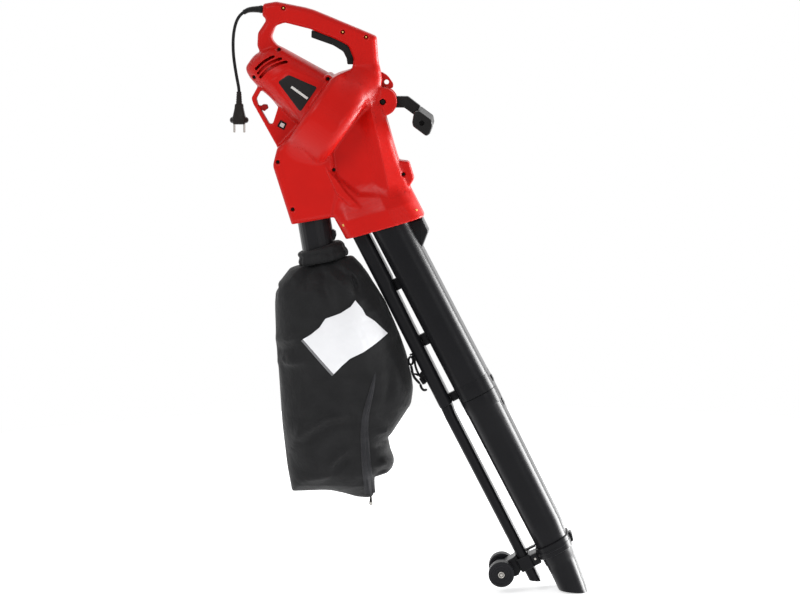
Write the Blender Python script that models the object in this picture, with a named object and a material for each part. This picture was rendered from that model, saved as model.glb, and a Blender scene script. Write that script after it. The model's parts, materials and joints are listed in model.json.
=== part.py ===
"""Leaf blower vacuum, built at real size as separate pieces in their working places.

Frame: X runs to the right of the side view, Y away from the viewer, +Z up, and the
origin is the middle of the main grip. The two housing halves part at Y = 0. Sizes
are in millimetres, and new_object turns them into metres.
"""

import math

import bmesh
import bpy
from mathutils import Matrix, Vector

MM = 0.001
FIT_GAP = 0.3                      # air between pieces that touch
WALL = 3.5                         # thickness of the moulded housing
SHARP_ANGLE = math.radians(32.0)   # edges sharper than this stay crisp
CORNER_STEP = 32.0                 # degrees per facet round a corner

# Main grip and hand hole
GRIP_HALF_WIDTH = 17.0
GRIP_EDGE_RADIUS = 9.0

# Fan drum and motor barrel share one axis, which leans down to the right
FAN_X, FAN_Z = 29.0, -177.0
FAN_TILT = math.radians(35.0)
DRUM_RADIUS = 94.0
DRUM_DROP = 9.0                    # the scroll is deeper below the axis than above it
DRUM_BACK, DRUM_FRONT = 41.5, -40.5
IMPELLER_RADIUS = 72.0
IMPELLER_DEPTH = 46.0
BLADE_COUNT = 8
SHAFT_RADIUS = 5.0

# Suction and blow tubes, side by side
TUBE_TILT = math.radians(27.4)     # from the vertical
SUCTION_N = (-91.2, -19.2)         # left and right walls, across the tubes
SUCTION_HALF_WIDTH = 52.0
SUCTION_CORNER = 29.0
SUCTION_START, SUCTION_JOINT = 378.0, 775.0
BLOW_HALF_WIDTH = 30.0
BLOW_N = (-129.0, -101.0)
TUBE_WALL = 2.6

# Tube collar of the housing
COLLAR_N = (-140.0, 10.0)
COLLAR_RIM = 391.4                 # at the left edge
RIM_SLOPE = 0.2                    # the rim falls back towards the right
COLLAR_HALF_WIDTH = 58.0

# Bag spout
SPOUT_X, SPOUT_Z = -7.7, -377.5
SPOUT_TILT = math.radians(9.3)
SPOUT_RADIUS = 32.0
SPOUT_SIDES = 28
SPOUT_TOP, SPOUT_END = -18.0, 84.0

# Auxiliary handle
BOSS_X, BOSS_Z = 125.5, -151.5
BOSS_RADIUS = 27.0
ARM_HALF_WIDTH = 8.0

# Cooling slots, as arcs about one centre: radius, first and last angle
VENT_X, VENT_Z, VENT_HALF = -45.3, -149.1, 2.0
VENT_ROWS = [(75.3, 98.0, 143.0), (83.3, 105.0, 140.5), (91.5, 113.0, 138.5)]

# Wheels
AXLE_X, AXLE_Z = 355.0, -1062.0
WHEEL_RADIUS = 25.0
WHEEL_WIDTH = 24.0
WHEEL_TRACK = 75.0

# Mode selector
LEVER_X, LEVER_Z = -110.8, -165.0
LEVER_HUB_RADIUS = 5.0
FLAP_X, FLAP_Z = 36.0, -350.0
FLAP_LENGTH = 58.0

# Mains cord: centre line from the strain relief down to the plug, as (x, z)
CORD_RADIUS = 3.0
PLUG_X = -150.0
CORD_ROUTE = [
    (-140.3, 16.4), (-144.8, 12.9), (-150.0, 6.6), (-154.2, -2.0), (-157.4, -13.0), (-159.8, -28.0),
    (-160.6, -46.0), (-159.8, -66.0), (-157.4, -86.0), (-154.2, -106.0), (-151.3, -122.0),
    (-150.1, -131.0), (-150.0, -137.3)]

# Bag sections from the top down: z, left, right, half depth
ZIP_X, ZIP_Z = 100.4, -919.2
BAG_SECTIONS = [
    (-471, -38, 66, 50), (-488, -66, 97, 68), (-514, -81, 113, 78), (-550, -82, 130, 84),
    (-595, -79, 157, 88), (-640, -75, 172, 90), (-690, -70, 182, 88), (-733, -67, 176, 84),
    (-790, -63, 141, 76), (-830, -60, 138, 66), (-866, -57, 132, 54), (-888, -52, 111, 40),
    (-908, -49, 102, 22), (-913.2, -46, 98, 10)]

RED = ((0.47, 0.010, 0.008), 0.34, 0.0)
BLACK = ((0.014, 0.014, 0.015), 0.42, 0.0)
SOFT_BLACK = ((0.022, 0.021, 0.020), 0.62, 0.0)
FABRIC = ((0.020, 0.020, 0.022), 0.92, 0.0)
STEEL = ((0.46, 0.45, 0.44), 0.32, 1.0)
BRASS = ((0.62, 0.43, 0.18), 0.35, 1.0)
COPPER = ((0.52, 0.20, 0.10), 0.40, 1.0)
GREY = ((0.20, 0.20, 0.21), 0.50, 0.0)


def clear_scene():
    """Empties the file that the model is built in."""
    for item in list(bpy.data.objects):
        bpy.data.objects.remove(item, do_unlink=True)


def finish_material(name, finish):
    """One Principled material: linear colour, roughness, metallic."""
    colour, roughness, metallic = finish
    material = bpy.data.materials.new(name)
    material.use_nodes = True
    shader = material.node_tree.nodes["Principled BSDF"]
    shader.inputs["Base Color"].default_value = (*colour, 1.0)
    shader.inputs["Roughness"].default_value = roughness
    shader.inputs["Metallic"].default_value = metallic
    material.diffuse_color = (*colour, 1.0)
    return material


def new_object(name, rings, finish):
    """A closed solid lofted through rings of points in millimetres, all of one count."""
    form = bmesh.new()
    rows = [[form.verts.new(Vector(point) * MM) for point in ring] for ring in rings]
    for lower, upper in zip(rows, rows[1:]):
        count = len(lower)
        for k in range(count):
            step = (k + 1) % count
            form.faces.new((lower[k], lower[step], upper[step], upper[k]))
    form.faces.new(rows[0][::-1])
    form.faces.new(rows[-1])
    bmesh.ops.recalc_face_normals(form, faces=form.faces)
    mesh = bpy.data.meshes.new(name)
    form.to_mesh(mesh)
    form.free()
    mesh.shade_smooth()
    mesh.set_sharp_from_angle(angle=SHARP_ANGLE)
    item = bpy.data.objects.new(name, mesh)
    bpy.context.scene.collection.objects.link(item)
    item.data.materials.append(finish_material(name + "_finish", finish))
    return item


def combine(base, other, operation):
    """Applies a Boolean of the second object to the first and removes the second."""
    modifier = base.modifiers.new("shape", "BOOLEAN")
    modifier.operation = operation
    modifier.object = other
    modifier.solver = "EXACT"
    scene_state = bpy.context.evaluated_depsgraph_get()
    mesh = bpy.data.meshes.new_from_object(base.evaluated_get(scene_state))
    base.modifiers.clear()
    base.data = mesh
    bpy.data.objects.remove(other, do_unlink=True)
    form = bmesh.new()
    form.from_mesh(mesh)
    bmesh.ops.remove_doubles(form, verts=form.verts, dist=0.000004)
    bmesh.ops.dissolve_degenerate(form, edges=form.edges, dist=0.000004)
    form.to_mesh(mesh)
    form.free()
    return base


def unite(base, *others):
    """Joins solids into one body."""
    for other in others:
        combine(base, other, "UNION")
    return base


def cut(base, *others):
    """Takes solids out of a body."""
    for other in others:
        combine(base, other, "DIFFERENCE")
    return base


def set_origin(item, point):
    """Moves an object's origin to a point in millimetres, its shape staying in place."""
    place = Vector(point) * MM
    item.data.transform(Matrix.Translation(-place))
    item.location = place
    return item


def outline(corners, inset=0.0):
    """Points of a polygon with rounded corners, its edges moved inwards by the inset.

    Each corner is (x, z, radius), counter-clockwise. A convex radius shrinks with the
    inset and a concave one grows, so insets of one outline have equal point counts.
    """
    count = len(corners)
    points = []
    for k in range(count):
        before = Vector(corners[k - 1][:2])
        here = Vector(corners[k][:2])
        after = Vector(corners[(k + 1) % count][:2])
        way_in, way_out = (here - before), (after - here)
        reach = min(way_in.length, way_out.length)
        way_in.normalize()
        way_out.normalize()
        normal_in = Vector((-way_in.y, way_in.x))
        normal_out = Vector((-way_out.y, way_out.x))
        turn = way_in.x * way_out.y - way_in.y * way_out.x
        angle = math.acos(max(-1.0, min(1.0, way_in.dot(way_out))))
        corner = here + (normal_in + normal_out) * inset / (1.0 + normal_in.dot(normal_out))
        half_tangent = math.tan(angle / 2.0)
        radius = corners[k][2] - math.copysign(inset, turn)
        radius = max(0.25, min(radius, 0.46 * reach / max(half_tangent, 0.01)))
        back = radius * half_tangent
        side = 1.0 if turn > 0.0 else -1.0
        centre = corner - way_in * back + normal_in * radius * side
        steps = max(1, round(math.degrees(angle) / CORNER_STEP))
        start = (corner - way_in * back) - centre
        for step in range(steps + 1):
            swing = side * angle * step / steps
            turned = Matrix.Rotation(swing, 2) @ start
            points.append(centre + turned)
    return points


def rounded_layers(half_width, radius, steps=2):
    """(y, inset) pairs across a plate whose two rims are rounded off."""
    side = []
    for k in range(steps + 1):
        angle = math.radians(90.0) * (1.0 - k / steps)
        side.append((half_width - radius + radius * math.sin(angle), radius * (1.0 - math.cos(angle))))
    return [(-y, inset) for y, inset in side] + [(y, inset) for y, inset in reversed(side)]


def flared_layers(half_width, radius, steps=2):
    """(y, inset) pairs for a hole that widens towards both faces of a plate."""
    side = [(half_width + 2.0, -radius)]
    for k in range(steps + 1):
        angle = math.radians(90.0) * (1.0 - k / steps)
        side.append((half_width - radius + radius * math.sin(angle), -radius * (1.0 - math.cos(angle))))
    return [(-y, inset) for y, inset in side] + [(y, inset) for y, inset in reversed(side)]


def plate(name, corners, layers, finish=RED):
    """A plate across Y, drawn in the side view."""
    rings = [[(p.x, y, p.y) for p in outline(corners, inset)] for y, inset in layers]
    return new_object(name, rings, finish)


def slab(name, corners, y_low, y_high, finish=RED):
    """A square-edged plate between two depths."""
    return plate(name, corners, [(y_low, 0.0), (y_high, 0.0)], finish)


def fan(u, v, y=0.0):
    """A point by its place along the fan axis, up across it, and in depth."""
    return (FAN_X - u * math.cos(FAN_TILT) + v * math.sin(FAN_TILT), y,
            FAN_Z + u * math.sin(FAN_TILT) + v * math.cos(FAN_TILT))


def tube(s, n, y=0.0):
    """A point by its place along the tubes, across them to the right, and in depth."""
    return (s * math.sin(TUBE_TILT) + n * math.cos(TUBE_TILT), y,
            -s * math.cos(TUBE_TILT) + n * math.sin(TUBE_TILT))


def spout(t, r, y=0.0):
    """A point by its place along the bag spout, across it to the right, and in depth."""
    return (SPOUT_X + t * math.sin(SPOUT_TILT) + r * math.cos(SPOUT_TILT), y,
            SPOUT_Z - t * math.cos(SPOUT_TILT) + r * math.sin(SPOUT_TILT))


def superellipse(half_a, half_b, power, count):
    """Points of a rounded box: |a / half_a| ** power + |b / half_b| ** power = 1."""
    points = []
    for k in range(count):
        angle = 2.0 * math.pi * (k + 0.5) / count
        c, s = math.cos(angle), math.sin(angle)
        points.append((half_a * math.copysign(abs(c) ** (2.0 / power), c),
                       half_b * math.copysign(abs(s) ** (2.0 / power), s)))
    return points


def rounded_box(half_a, half_b, radius, steps=4):
    """Points of a rectangle with round corners."""
    points = []
    radius = min(radius, half_a, half_b)
    for sign_a, sign_b, first in ((1, 1, 0), (-1, 1, 90), (-1, -1, 180), (1, -1, 270)):
        for k in range(steps + 1):
            angle = math.radians(first + 90.0 * k / steps)
            points.append((sign_a * (half_a - radius) + radius * math.cos(angle),
                           sign_b * (half_b - radius) + radius * math.sin(angle)))
    return points


def circle(radius, count):
    """Points of a circle."""
    return [(radius * math.cos(2.0 * math.pi * (k + 0.5) / count),
             radius * math.sin(2.0 * math.pi * (k + 0.5) / count)) for k in range(count)]


def fan_turned(name, profile, finish, count=24, drop=0.0):
    """A solid turned about the fan axis from (u, radius) pairs."""
    rings = [[fan(u, a - drop, b) for a, b in circle(radius, count)] for u, radius in profile]
    return new_object(name, rings, finish)


def cross_rod(name, x, z, profile, finish, count=16):
    """A solid turned about an axis along Y from (y, radius) pairs."""
    rings = [[(x + a, y, z + b) for a, b in circle(radius, count)] for y, radius in profile]
    return new_object(name, rings, finish)


def box(name, low, high, finish=GREY):
    """A square box between two corners."""
    corners = [(low[0], low[1]), (high[0], low[1]), (high[0], high[1]), (low[0], high[1])]
    return new_object(name, [[(x, y, z) for x, y in corners] for z in (low[2], high[2])], finish)


def bezier(points, t):
    """A point on a cubic Bezier curve."""
    a, b, c, d = (Vector(p) for p in points)
    r = 1.0 - t
    return a * r ** 3 + b * 3.0 * r * r * t + c * 3.0 * r * t * t + d * t ** 3


# Side-view outlines, counter-clockwise, as (x, z, corner radius)
HANDLE_OUTLINE = [
    (-102, 33, 4), (-104, 11, 4), (-96, 3, 6), (-112.5, -22, 14), (-114, -46, 14), (-100, -80, 8),
    (-50, -100, 8), (20, -140, 8), (105, -150, 8), (121, -108, 6), (116, -70, 60), (113, -28, 7),
    (-12, 24, 90), (-78, 37, 14)]
HAND_HOLE = [
    (-78, -9, 11), (-87, -32, 13), (-76.5, -47, 8), (31, -106, 3), (45, -99, 8), (66, -91, 7),
    (69, -71, 12), (59, -46, 14), (34, -33.5, 14), (-13, -15, 5), (-61, -3, 12)]
LOOP_OUTLINE = [
    (-112, -121, 5), (-126, -146, 9), (-122, -158, 12), (-76, -241, 3), (-50, -215, 5),
    (-40, -170, 5), (-80, -120, 5)]
LOOP_WINDOW = [
    (-107, -129, 5), (-117, -147, 7), (-114, -158, 8), (-91, -198, 5), (-84, -194, 5),
    (-74, -163, 3), (-90, -140, 5)]
BAG_DUCT_OUTLINE = [
    (-48, -385, 2), (33, -370.5, 2), (42, -330, 5), (30, -240, 5), (-30, -212, 5),
    (-61, -227, 5), (-75, -239, 7), (-83.5, -272, 22)]
BODY_OUTLINE = [
    (59, -408.5, 2), (201, -368, 2), (157, -268, 8), (146.5, -235, 40), (131.5, -181, 40),
    (120.5, -98, 8), (60, -104, 8), (20, -150, 8), (8, -300, 5), (33, -369.5, 3)]
LUG_OUTLINE = [(138, -322, 4), (173, -319, 5), (185, -299, 6), (175, -266, 7), (140, -262, 5)]
ARM_OUTLINE = [
    (112, -152, 13), (125, -172, 15), (142, -163.6, 9), (166, -163.6, 8), (184.5, -177.5, 3),
    (198, -161, 3), (173, -141.8, 8), (142, -141.8, 9), (125, -132, 15)]
AUX_GRIP_OUTLINE = [
    (182.4, -187, 6), (184, -195, 5), (209.2, -213.8, 5), (216.4, -209, 5), (221.8, -195, 6),
    (219.6, -182.5, 6), (196.5, -165.6, 5), (186, -166.5, 6)]
TRIGGER_OUTLINE = [
    (-10.6, -17, 1.5), (-10.8, -28.6, 1.8), (33, -42.8, 14), (52, -54, 10), (58.6, -68, 6),
    (59.8, -78.6, 1.5), (70.5, -78, 3), (70.5, -62, 5), (54, -38, 8), (34, -27, 8)]
TRIGGER_PIVOT = (66.0, -71.0)

# Motor barrel sections: place along the fan axis, middle, half height and half depth
BARREL_SECTIONS = [
    (6, 4.5, 57.5, 61), (60, 4.3, 55.8, 59), (112, 6, 48.4, 54), (150, 6.3, 43.9, 48),
    (168, 3.2, 36.7, 41), (179, -2.5, 26, 31), (187.5, -7.5, 14, 18)]

# Side-view regions of the mouldings that the housing is screwed together from
MOTOR_COVER_REGION = [
    (-59.5, -225.2, 1), (-53.1, -221, 1), (33.7, -97, 1), (20, -60, 1), (-50, -20, 1), (-60.8, -6, 1),
    (-53.5, 45, 1), (-150, 45, 1), (-150, -302.8, 1)]
BAG_DUCT_REGION = [
    (-150, -302.8, 1), (-150, -425, 1), (18, -425, 1), (34, -371, 1), (50, -352, 1), (50, -325, 1),
    (5.1, -287.8, 1), (-65.3, -238.5, 1), (-53.1, -221, 1), (-59.5, -225.2, 1)]
COLLAR_REGION = [
    (34, -371, 1), (18, -425, 1), (245, -425, 1), (245, -320.2, 1), (50, -352, 1)]
HANGING_TAB_OUTLINE = [
    (113.5, -97, 3), (113.5, -125, 2), (133, -125, 2), (137, -128, 2), (143, -128, 4), (145, -120, 12),
    (134, -104, 14), (123, -97, 4)]


def barrel(name, shrink, count=26):
    """Motor barrel, lofted along the fan axis; shrink makes it the hollow inside."""
    sections = BARREL_SECTIONS[:-1] if shrink else BARREL_SECTIONS
    rings = []
    for u, middle, half_v, half_y in sections:
        ring = superellipse(half_v - shrink, half_y - shrink, 2.35, count)
        rings.append([fan(u - shrink * 0.5, middle + a, b) for a, b in ring])
    return new_object(name, rings, RED)


def motor_rib(body, u, thickness, bore):
    """A wall across the motor chamber that holds the piece in its bore."""
    for first, last in zip(BARREL_SECTIONS, BARREL_SECTIONS[1:]):
        if first[0] <= u < last[0]:
            part = (u - first[0]) / (last[0] - first[0])
            middle, half_v, half_y = (a + (b - a) * part for a, b in zip(first[1:], last[1:]))
    ring = superellipse(half_v - 3.0, half_y - 3.0, 2.35, 20)
    rings = [[fan(place, middle + a, b) for a, b in ring] for place in (u + thickness, u)]
    wall = new_object("rib", rings, RED)
    ends = [(u + thickness + 2.0, bore), (u - 2.0, bore)]
    unite(body, cut(wall, fan_turned("rib_bore", ends, RED, 20)))


def drum(name, shrink, steps, count):
    """Fan drum with rounded rims, turned about a line just below the fan axis."""
    radius = DRUM_RADIUS - shrink
    back, front = DRUM_BACK - shrink, DRUM_FRONT + shrink
    rim_back, rim_front = 20.0 - shrink, 17.0 - shrink
    profile = []
    for k in range(steps + 1):
        angle = math.radians(90.0 * k / steps)
        profile.append((back - rim_back * (1.0 - math.cos(angle)),
                        radius - rim_back * (1.0 - math.sin(angle))))
    for k in range(steps + 1):
        angle = math.radians(90.0 * k / steps)
        profile.append((front + rim_front * (1.0 - math.sin(angle)),
                        radius - rim_front * (1.0 - math.cos(angle))))
    return fan_turned(name, profile, RED, count, drop=DRUM_DROP)


def collar(name):
    """Collar that takes both tubes, growing out of the body into a full-width block."""
    rings = []
    middle = sum(COLLAR_N) / 2.0
    half_n = (COLLAR_N[1] - COLLAR_N[0]) / 2.0
    for s, pull, half_y in ((300, 13, 30), (322, 8, 40), (340, 3, 51), (356, 1, 57),
                            (COLLAR_RIM, 0, COLLAR_HALF_WIDTH)):
        ring = rounded_box(half_n - pull, half_y, 30.0, 3)
        rings.append([tube(s + RIM_SLOPE * (a + half_n), middle + a, b) for a, b in ring])
    return new_object(name, rings, RED)


def tube_ring(s, n_low, n_high, half_y, radius, slope=0.0, steps=4):
    """One rounded-box section across the tubes; the slope slants it."""
    half_n = (n_high - n_low) / 2.0
    middle = (n_low + n_high) / 2.0
    ring = rounded_box(half_n, half_y, radius, steps)
    return [tube(s + slope * (a + half_n), middle + a, b) for a, b in ring]


def intake_hollow(name):
    """Air way from the collar up and round into the eye of the fan."""
    start = tube(372.0, -55.2)
    finish = fan(DRUM_FRONT + 3.0, 0.0)
    lift = Vector(tube(-72.0, 0.0))
    sweep = Vector(fan(-60.0, 0.0)) - Vector(fan(0.0, 0.0))
    path = (start, Vector(start) + lift, Vector(finish) + sweep, finish)
    rings = [tube_ring(440.0, SUCTION_N[0] + 3, SUCTION_N[1] - 3, 49.0, 26.0, 0.0, 3)]
    for k in range(6):
        t = k / 5.0
        middle = bezier(path, t)
        tangent = (bezier(path, min(1.0, t + 0.02)) - bezier(path, max(0.0, t - 0.02))).normalized()
        across = Vector((tangent.z, 0.0, -tangent.x))
        half_n = 33.0 + (26.0 - 33.0) * t if t < 0.8 else 28.0 + (t - 0.8) * 40.0
        half_y = max(33.0, 47.0 - 66.0 * t)
        ring = rounded_box(half_n, half_y, 24.0, 3)
        rings.append([tuple(middle + across * a + Vector((0.0, b, 0.0))) for a, b in ring])
    return new_object(name, rings, RED)


def housing_body():
    """Both halves as one solid, before the hollows and the parting."""
    body = plate("housing", HANDLE_OUTLINE, rounded_layers(GRIP_HALF_WIDTH, GRIP_EDGE_RADIUS))
    cut(body, plate("hand_hole", HAND_HOLE, flared_layers(GRIP_HALF_WIDTH, 7.0)))
    loop = plate("loop", LOOP_OUTLINE, rounded_layers(9.5, 3.5, 1))
    cut(loop, plate("window", LOOP_WINDOW, flared_layers(9.5, 2.5, 1)))
    ears = [(-8.0, 3.9), (8.0, 3.9)]
    unite(loop, cross_rod("lever_ears", LEVER_X, LEVER_Z, ears, RED, 14))
    unite(body, barrel("barrel", 0.0), drum("drum", 0.0, 3, 34), loop)
    unite(body, plate("bag_duct", BAG_DUCT_OUTLINE, rounded_layers(45.0, 14.0)))
    unite(body, plate("intake_body", BODY_OUTLINE, rounded_layers(38.0, 12.0)))
    unite(body, collar("collar"))
    boss = [(-22, 25), (-20, BOSS_RADIUS), (20, BOSS_RADIUS), (22, 25)]
    unite(body, cross_rod("boss", BOSS_X, BOSS_Z, boss, RED, 24))
    unite(body, plate("lug", LUG_OUTLINE, rounded_layers(17.0, 3.0, 1)))
    return body


def housing_hollows(body):
    """Opens the body: motor and fan chambers, air ways, sockets, grip and pivot slot."""
    cut(body, barrel("motor_chamber", WALL, 20))
    for u, thickness, bore in ((74, 3, 38.9), (110, 3, 38.9), (150, 5, 12.4)):
        motor_rib(body, u, thickness, bore)
    cut(body, drum("fan_chamber", WALL, 2, 26))
    cut(body, intake_hollow("intake_way"))
    cut(body, flap_swing("flap_swing"))
    cut(body, cross_rod("flap_bearing", FLAP_X, FLAP_Z, [(-29, 4.0), (29, 4.0)], RED, 14))
    outlet = [(-4, -259, 33, 40), (-12, -290, 36, 40), (-10, -330, 38, 38), (-7.5, -352, 31, 31),
              (-9, -370, 28.5, 28.5)]
    rings = [[(x + a, b, z + 0.1 * a) for a, b in rounded_box(half_a, half_b, 24.0, 3)]
             for x, z, half_a, half_b in outlet]
    cut(body, new_object("bag_way", rings, RED))
    socket = [[spout(t, a, b) for a, b in circle(SPOUT_RADIUS + FIT_GAP, SPOUT_SIDES)]
              for t in (SPOUT_TOP - FIT_GAP, 30)]
    cut(body, new_object("spout_socket", socket, RED))
    blow = [[(6, -288), 16, 27], [(26, -320), 17, 27], [(56, -356), 13, 27]]
    rings = [[(x + a * 0.93, b, z + a * 0.36) for a, b in rounded_box(half_a, half_b, 9.0, 3)]
             for (x, z), half_a, half_b in blow]
    rings.append(tube_ring(384.0, BLOW_N[0] + 3, BLOW_N[1] - 3, 27.0, 9.0, 0.0, 3))
    cut(body, new_object("blow_way", rings, RED))
    sockets = ((SUCTION_N, SUCTION_HALF_WIDTH, SUCTION_CORNER, 4), (BLOW_N, BLOW_HALF_WIDTH, 11.0, 3))
    for (low, high), half_y, radius, steps in sockets:
        ends = [tube_ring(s, low - FIT_GAP, high + FIT_GAP, half_y + FIT_GAP, radius, 0.0, steps)
                for s in (SUCTION_START - FIT_GAP, 450.0)]
        cut(body, new_object("tube_socket", ends, RED))
    grip = [(-92, 9, 4), (-62, 0.5, 6), (-13, -11, 4), (34, -29.5, 10), (61.5, -42, 12),
            (73, -70, 10), (73, -100, 6), (112, -104, 6), (109, -34, 6), (-13, 19.5, 60),
            (-78, 32, 8), (-96, 28, 4)]
    cut(body, slab("grip_hollow", grip, -12.5, 12.5))
    slot = [(-12, -6, 1), (-12, -34, 1), (30, -52, 3), (50, -62, 3), (58, -84, 2), (74, -84, 3),
            (74, -58, 4), (59, -32, 4), (34, -20, 4)]
    cut(body, slab("trigger_slot", slot, -8.0, 8.0))
    x, z = TRIGGER_PIVOT
    cut(body, cross_rod("trigger_pin_hole", x, z, [(-12.2, 2.7), (12.2, 2.7)], RED, 12))
    cut(body, cross_rod("spring_pocket", x, z, [(7.0, 5.4), (11.8, 5.4)], RED, 16))
    unite(body, box("cord_rest", (-71, -14, -3), (-61, 14, 11.7), RED))
    sleeve = [[(x, a, 22.5 + b) for a, b in circle(6.9, 16)] for x in (-110.0, -86.0)]
    cut(body, new_object("sleeve_hole", sleeve, RED))
    pivot = [(-ARM_HALF_WIDTH - FIT_GAP, 34), (ARM_HALF_WIDTH + FIT_GAP, 34)]
    cut(body, cross_rod("pivot_slot", BOSS_X, BOSS_Z, pivot, RED, 28))
    cut(body, cross_rod("pivot_hole", BOSS_X, BOSS_Z, [(-30, 4.3), (30, 4.3)], RED, 16))
    for side in (-1, 1):
        head = sorted([(side * 18.0, 7.3), (side * 30.0, 7.3)])
        cut(body, cross_rod("head_recess", BOSS_X, BOSS_Z, head, RED, 16))
    hub = LEVER_HUB_RADIUS + 0.5
    cut(body, cross_rod("lever_hole", LEVER_X, LEVER_Z, [(-5.8, hub), (5.8, hub)], RED, 20))
    cut(body, cross_rod("lever_pin_hole", LEVER_X, LEVER_Z, [(-7.2, 2.2), (7.2, 2.2)], RED, 12))
    for radius, first, last in VENT_ROWS:
        cut_vent(body, radius, first, last)


def flap_swing(name):
    """The sector that the mode flap sweeps."""
    foot = Vector((FLAP_X, FLAP_Z))
    reach = FLAP_LENGTH + 2.5
    corners = [foot + Vector((4.0, -4.0)), foot + Vector((4.0, 6.0))]
    for degrees in (104, 118, 132, 146, 160, 174, 184):
        angle = math.radians(degrees)
        corners.append(foot + Vector((math.cos(angle), math.sin(angle))) * reach)
    corners.append(foot + Vector((0.0, -4.0)))
    return new_object(name, [[(p.x, y, p.y) for p in corners] for y in (-27.0, 27.0)], RED)


def cut_vent(body, radius, first, last):
    """One arched cooling slot through both sides of the motor barrel."""
    steps = 3
    inner, outer = [], []
    for k in range(steps + 1):
        angle = math.radians(first + (last - first) * k / steps)
        c, s = math.cos(angle), math.sin(angle)
        inner.append((VENT_X + (radius - VENT_HALF) * c, VENT_Z + (radius - VENT_HALF) * s))
        outer.append((VENT_X + (radius + VENT_HALF) * c, VENT_Z + (radius + VENT_HALF) * s))
    ring = outer + inner[::-1]
    rings = [[(x, y, z) for x, z in ring] for y in (-80.0, 80.0)]
    cut(body, new_object("vent", rings, RED))


def copied(item):
    """A copy with its own mesh."""
    twin = item.copy()
    twin.data = item.data.copy()
    bpy.context.scene.collection.objects.link(twin)
    return twin


def region_block(corners, grow):
    """A block through the whole housing over a side-view region, grown by half a gap or shrunk."""
    return plate("region", corners, [(-200.0, -grow), (200.0, -grow)])


def part_mouldings(body):
    """Parts the hollow body along the joints between its mouldings."""
    half_gap = FIT_GAP / 2.0
    regions = {"motor_cover": MOTOR_COVER_REGION, "bag_duct": BAG_DUCT_REGION,
               "tube_collar": COLLAR_REGION}
    mouldings = {}
    for name, corners in regions.items():
        moulding = copied(body)
        combine(moulding, region_block(corners, -half_gap), "INTERSECT")
        mouldings[name] = moulding
    for corners in regions.values():
        cut(body, region_block(corners, half_gap))
    mouldings["housing"] = body
    return mouldings


def hanging_tab(far):
    """Tab with the wall-hook eyelet, let into the outside of the far half."""
    cut(far, plate("tab_recess", HANGING_TAB_OUTLINE, [(10.2, -FIT_GAP), (40.0, -FIT_GAP)]))
    tab = slab("hanging_tab", HANGING_TAB_OUTLINE, 10.5, 16.0)
    cut(tab, cross_rod("eyelet", 131.5, -115.8, [(5, 4.6), (20, 4.6)], RED, 16))


def housing():
    """Near and far halves of each moulding, with the hanging tab on the far side."""
    body = housing_body()
    housing_hollows(body)
    half_gap = FIT_GAP / 2.0
    for name, near in part_mouldings(body).items():
        far = copied(near)
        cut(near, box("near_cutter", (-400, -half_gap, -500), (400, 200, 200)))
        cut(far, box("far_cutter", (-400, -200, -500), (400, half_gap, 200)))
        if name == "housing":
            hanging_tab(far)
        near.name, far.name = name + "_near", name + "_far"
        for item in (near, far):
            item.data.materials.clear()
            item.data.materials.append(finish_material(item.name + "_finish", RED))
            item.data.shade_smooth()
            item.data.set_sharp_from_angle(angle=SHARP_ANGLE)


def controls():
    """Trigger, switch, spring, lever and the other pieces in the grip."""
    x, z = TRIGGER_PIVOT
    trigger = plate("trigger", TRIGGER_OUTLINE, rounded_layers(7.5, 2.0, 1), SOFT_BLACK)
    cut(trigger, cross_rod("pin_way", x, z, [(-9, 2.7), (9, 2.7)], SOFT_BLACK, 12))
    set_origin(trigger, (x, 0.0, z))
    cross_rod("trigger_pin", x, z, [(-12.0, 2.3), (12.0, 2.3)], STEEL, 12)
    coil = cross_rod("trigger_spring", x, z, [(8.4, 4.8), (11.5, 4.8)], STEEL, 14)
    cut(coil, cross_rod("spring_bore", x, z, [(7.0, 2.9), (13.0, 2.9)], STEEL, 14))
    slope, rise, middle = Vector((0.92, -0.385)), Vector((0.385, 0.92)), Vector((26.5, -9.0))
    body = [middle - slope * 19 - rise * 8, middle + slope * 19 - rise * 8,
            middle + slope * 19 + rise * 8, middle - slope * 19 + rise * 8]
    rings = [[(p.x, y, p.y) for p in body] for y in (-12.2, 12.2)]
    new_object("switch_module", rings, SOFT_BLACK)
    box("cord_clamp", (-71, -9, 12), (-61, 9, 18), BLACK)
    cross_rod("suppression_capacitor", 90.0, -50.0, [(-12.2, 7.0), (12.2, 7.0)], GREY)
    ends = [(-5.5, LEVER_HUB_RADIUS), (5.5, LEVER_HUB_RADIUS)]
    hub = cross_rod("selector_lever", LEVER_X, LEVER_Z, ends, RED, 16)
    tongue = [(-109, -161.5, 1), (-107, -169.3, 1), (-101, -171.5, 2), (-93, -165, 2.5),
              (-95, -157.5, 2.5), (-103, -157, 2)]
    unite(hub, plate("tongue", tongue, rounded_layers(5.3, 1.5, 1)))
    unite(hub, cross_rod("lever_pin", LEVER_X, LEVER_Z, [(-6.9, 1.9), (6.9, 1.9)], RED, 12))
    set_origin(hub, (LEVER_X, 0.0, LEVER_Z))


def flap():
    """Flap that sends the air to the bag or to the blow tube."""
    lean = math.radians(111.0)
    along = Vector((math.cos(lean), math.sin(lean)))
    aside = Vector((-along.y, along.x))
    foot = Vector((FLAP_X, FLAP_Z))
    ring = [foot - aside * 1.5, foot + along * FLAP_LENGTH - aside * 0.8,
            foot + along * FLAP_LENGTH + aside * 0.8, foot + aside * 1.5]
    leaf = new_object("mode_flap", [[(p.x, y, p.y) for p in ring] for y in (-25.5, 25.5)], BLACK)
    unite(leaf, cross_rod("flap_shaft", FLAP_X, FLAP_Z, [(-26.5, 3.5), (26.5, 3.5)], BLACK, 14))
    set_origin(leaf, (FLAP_X, 0.0, FLAP_Z))


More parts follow.
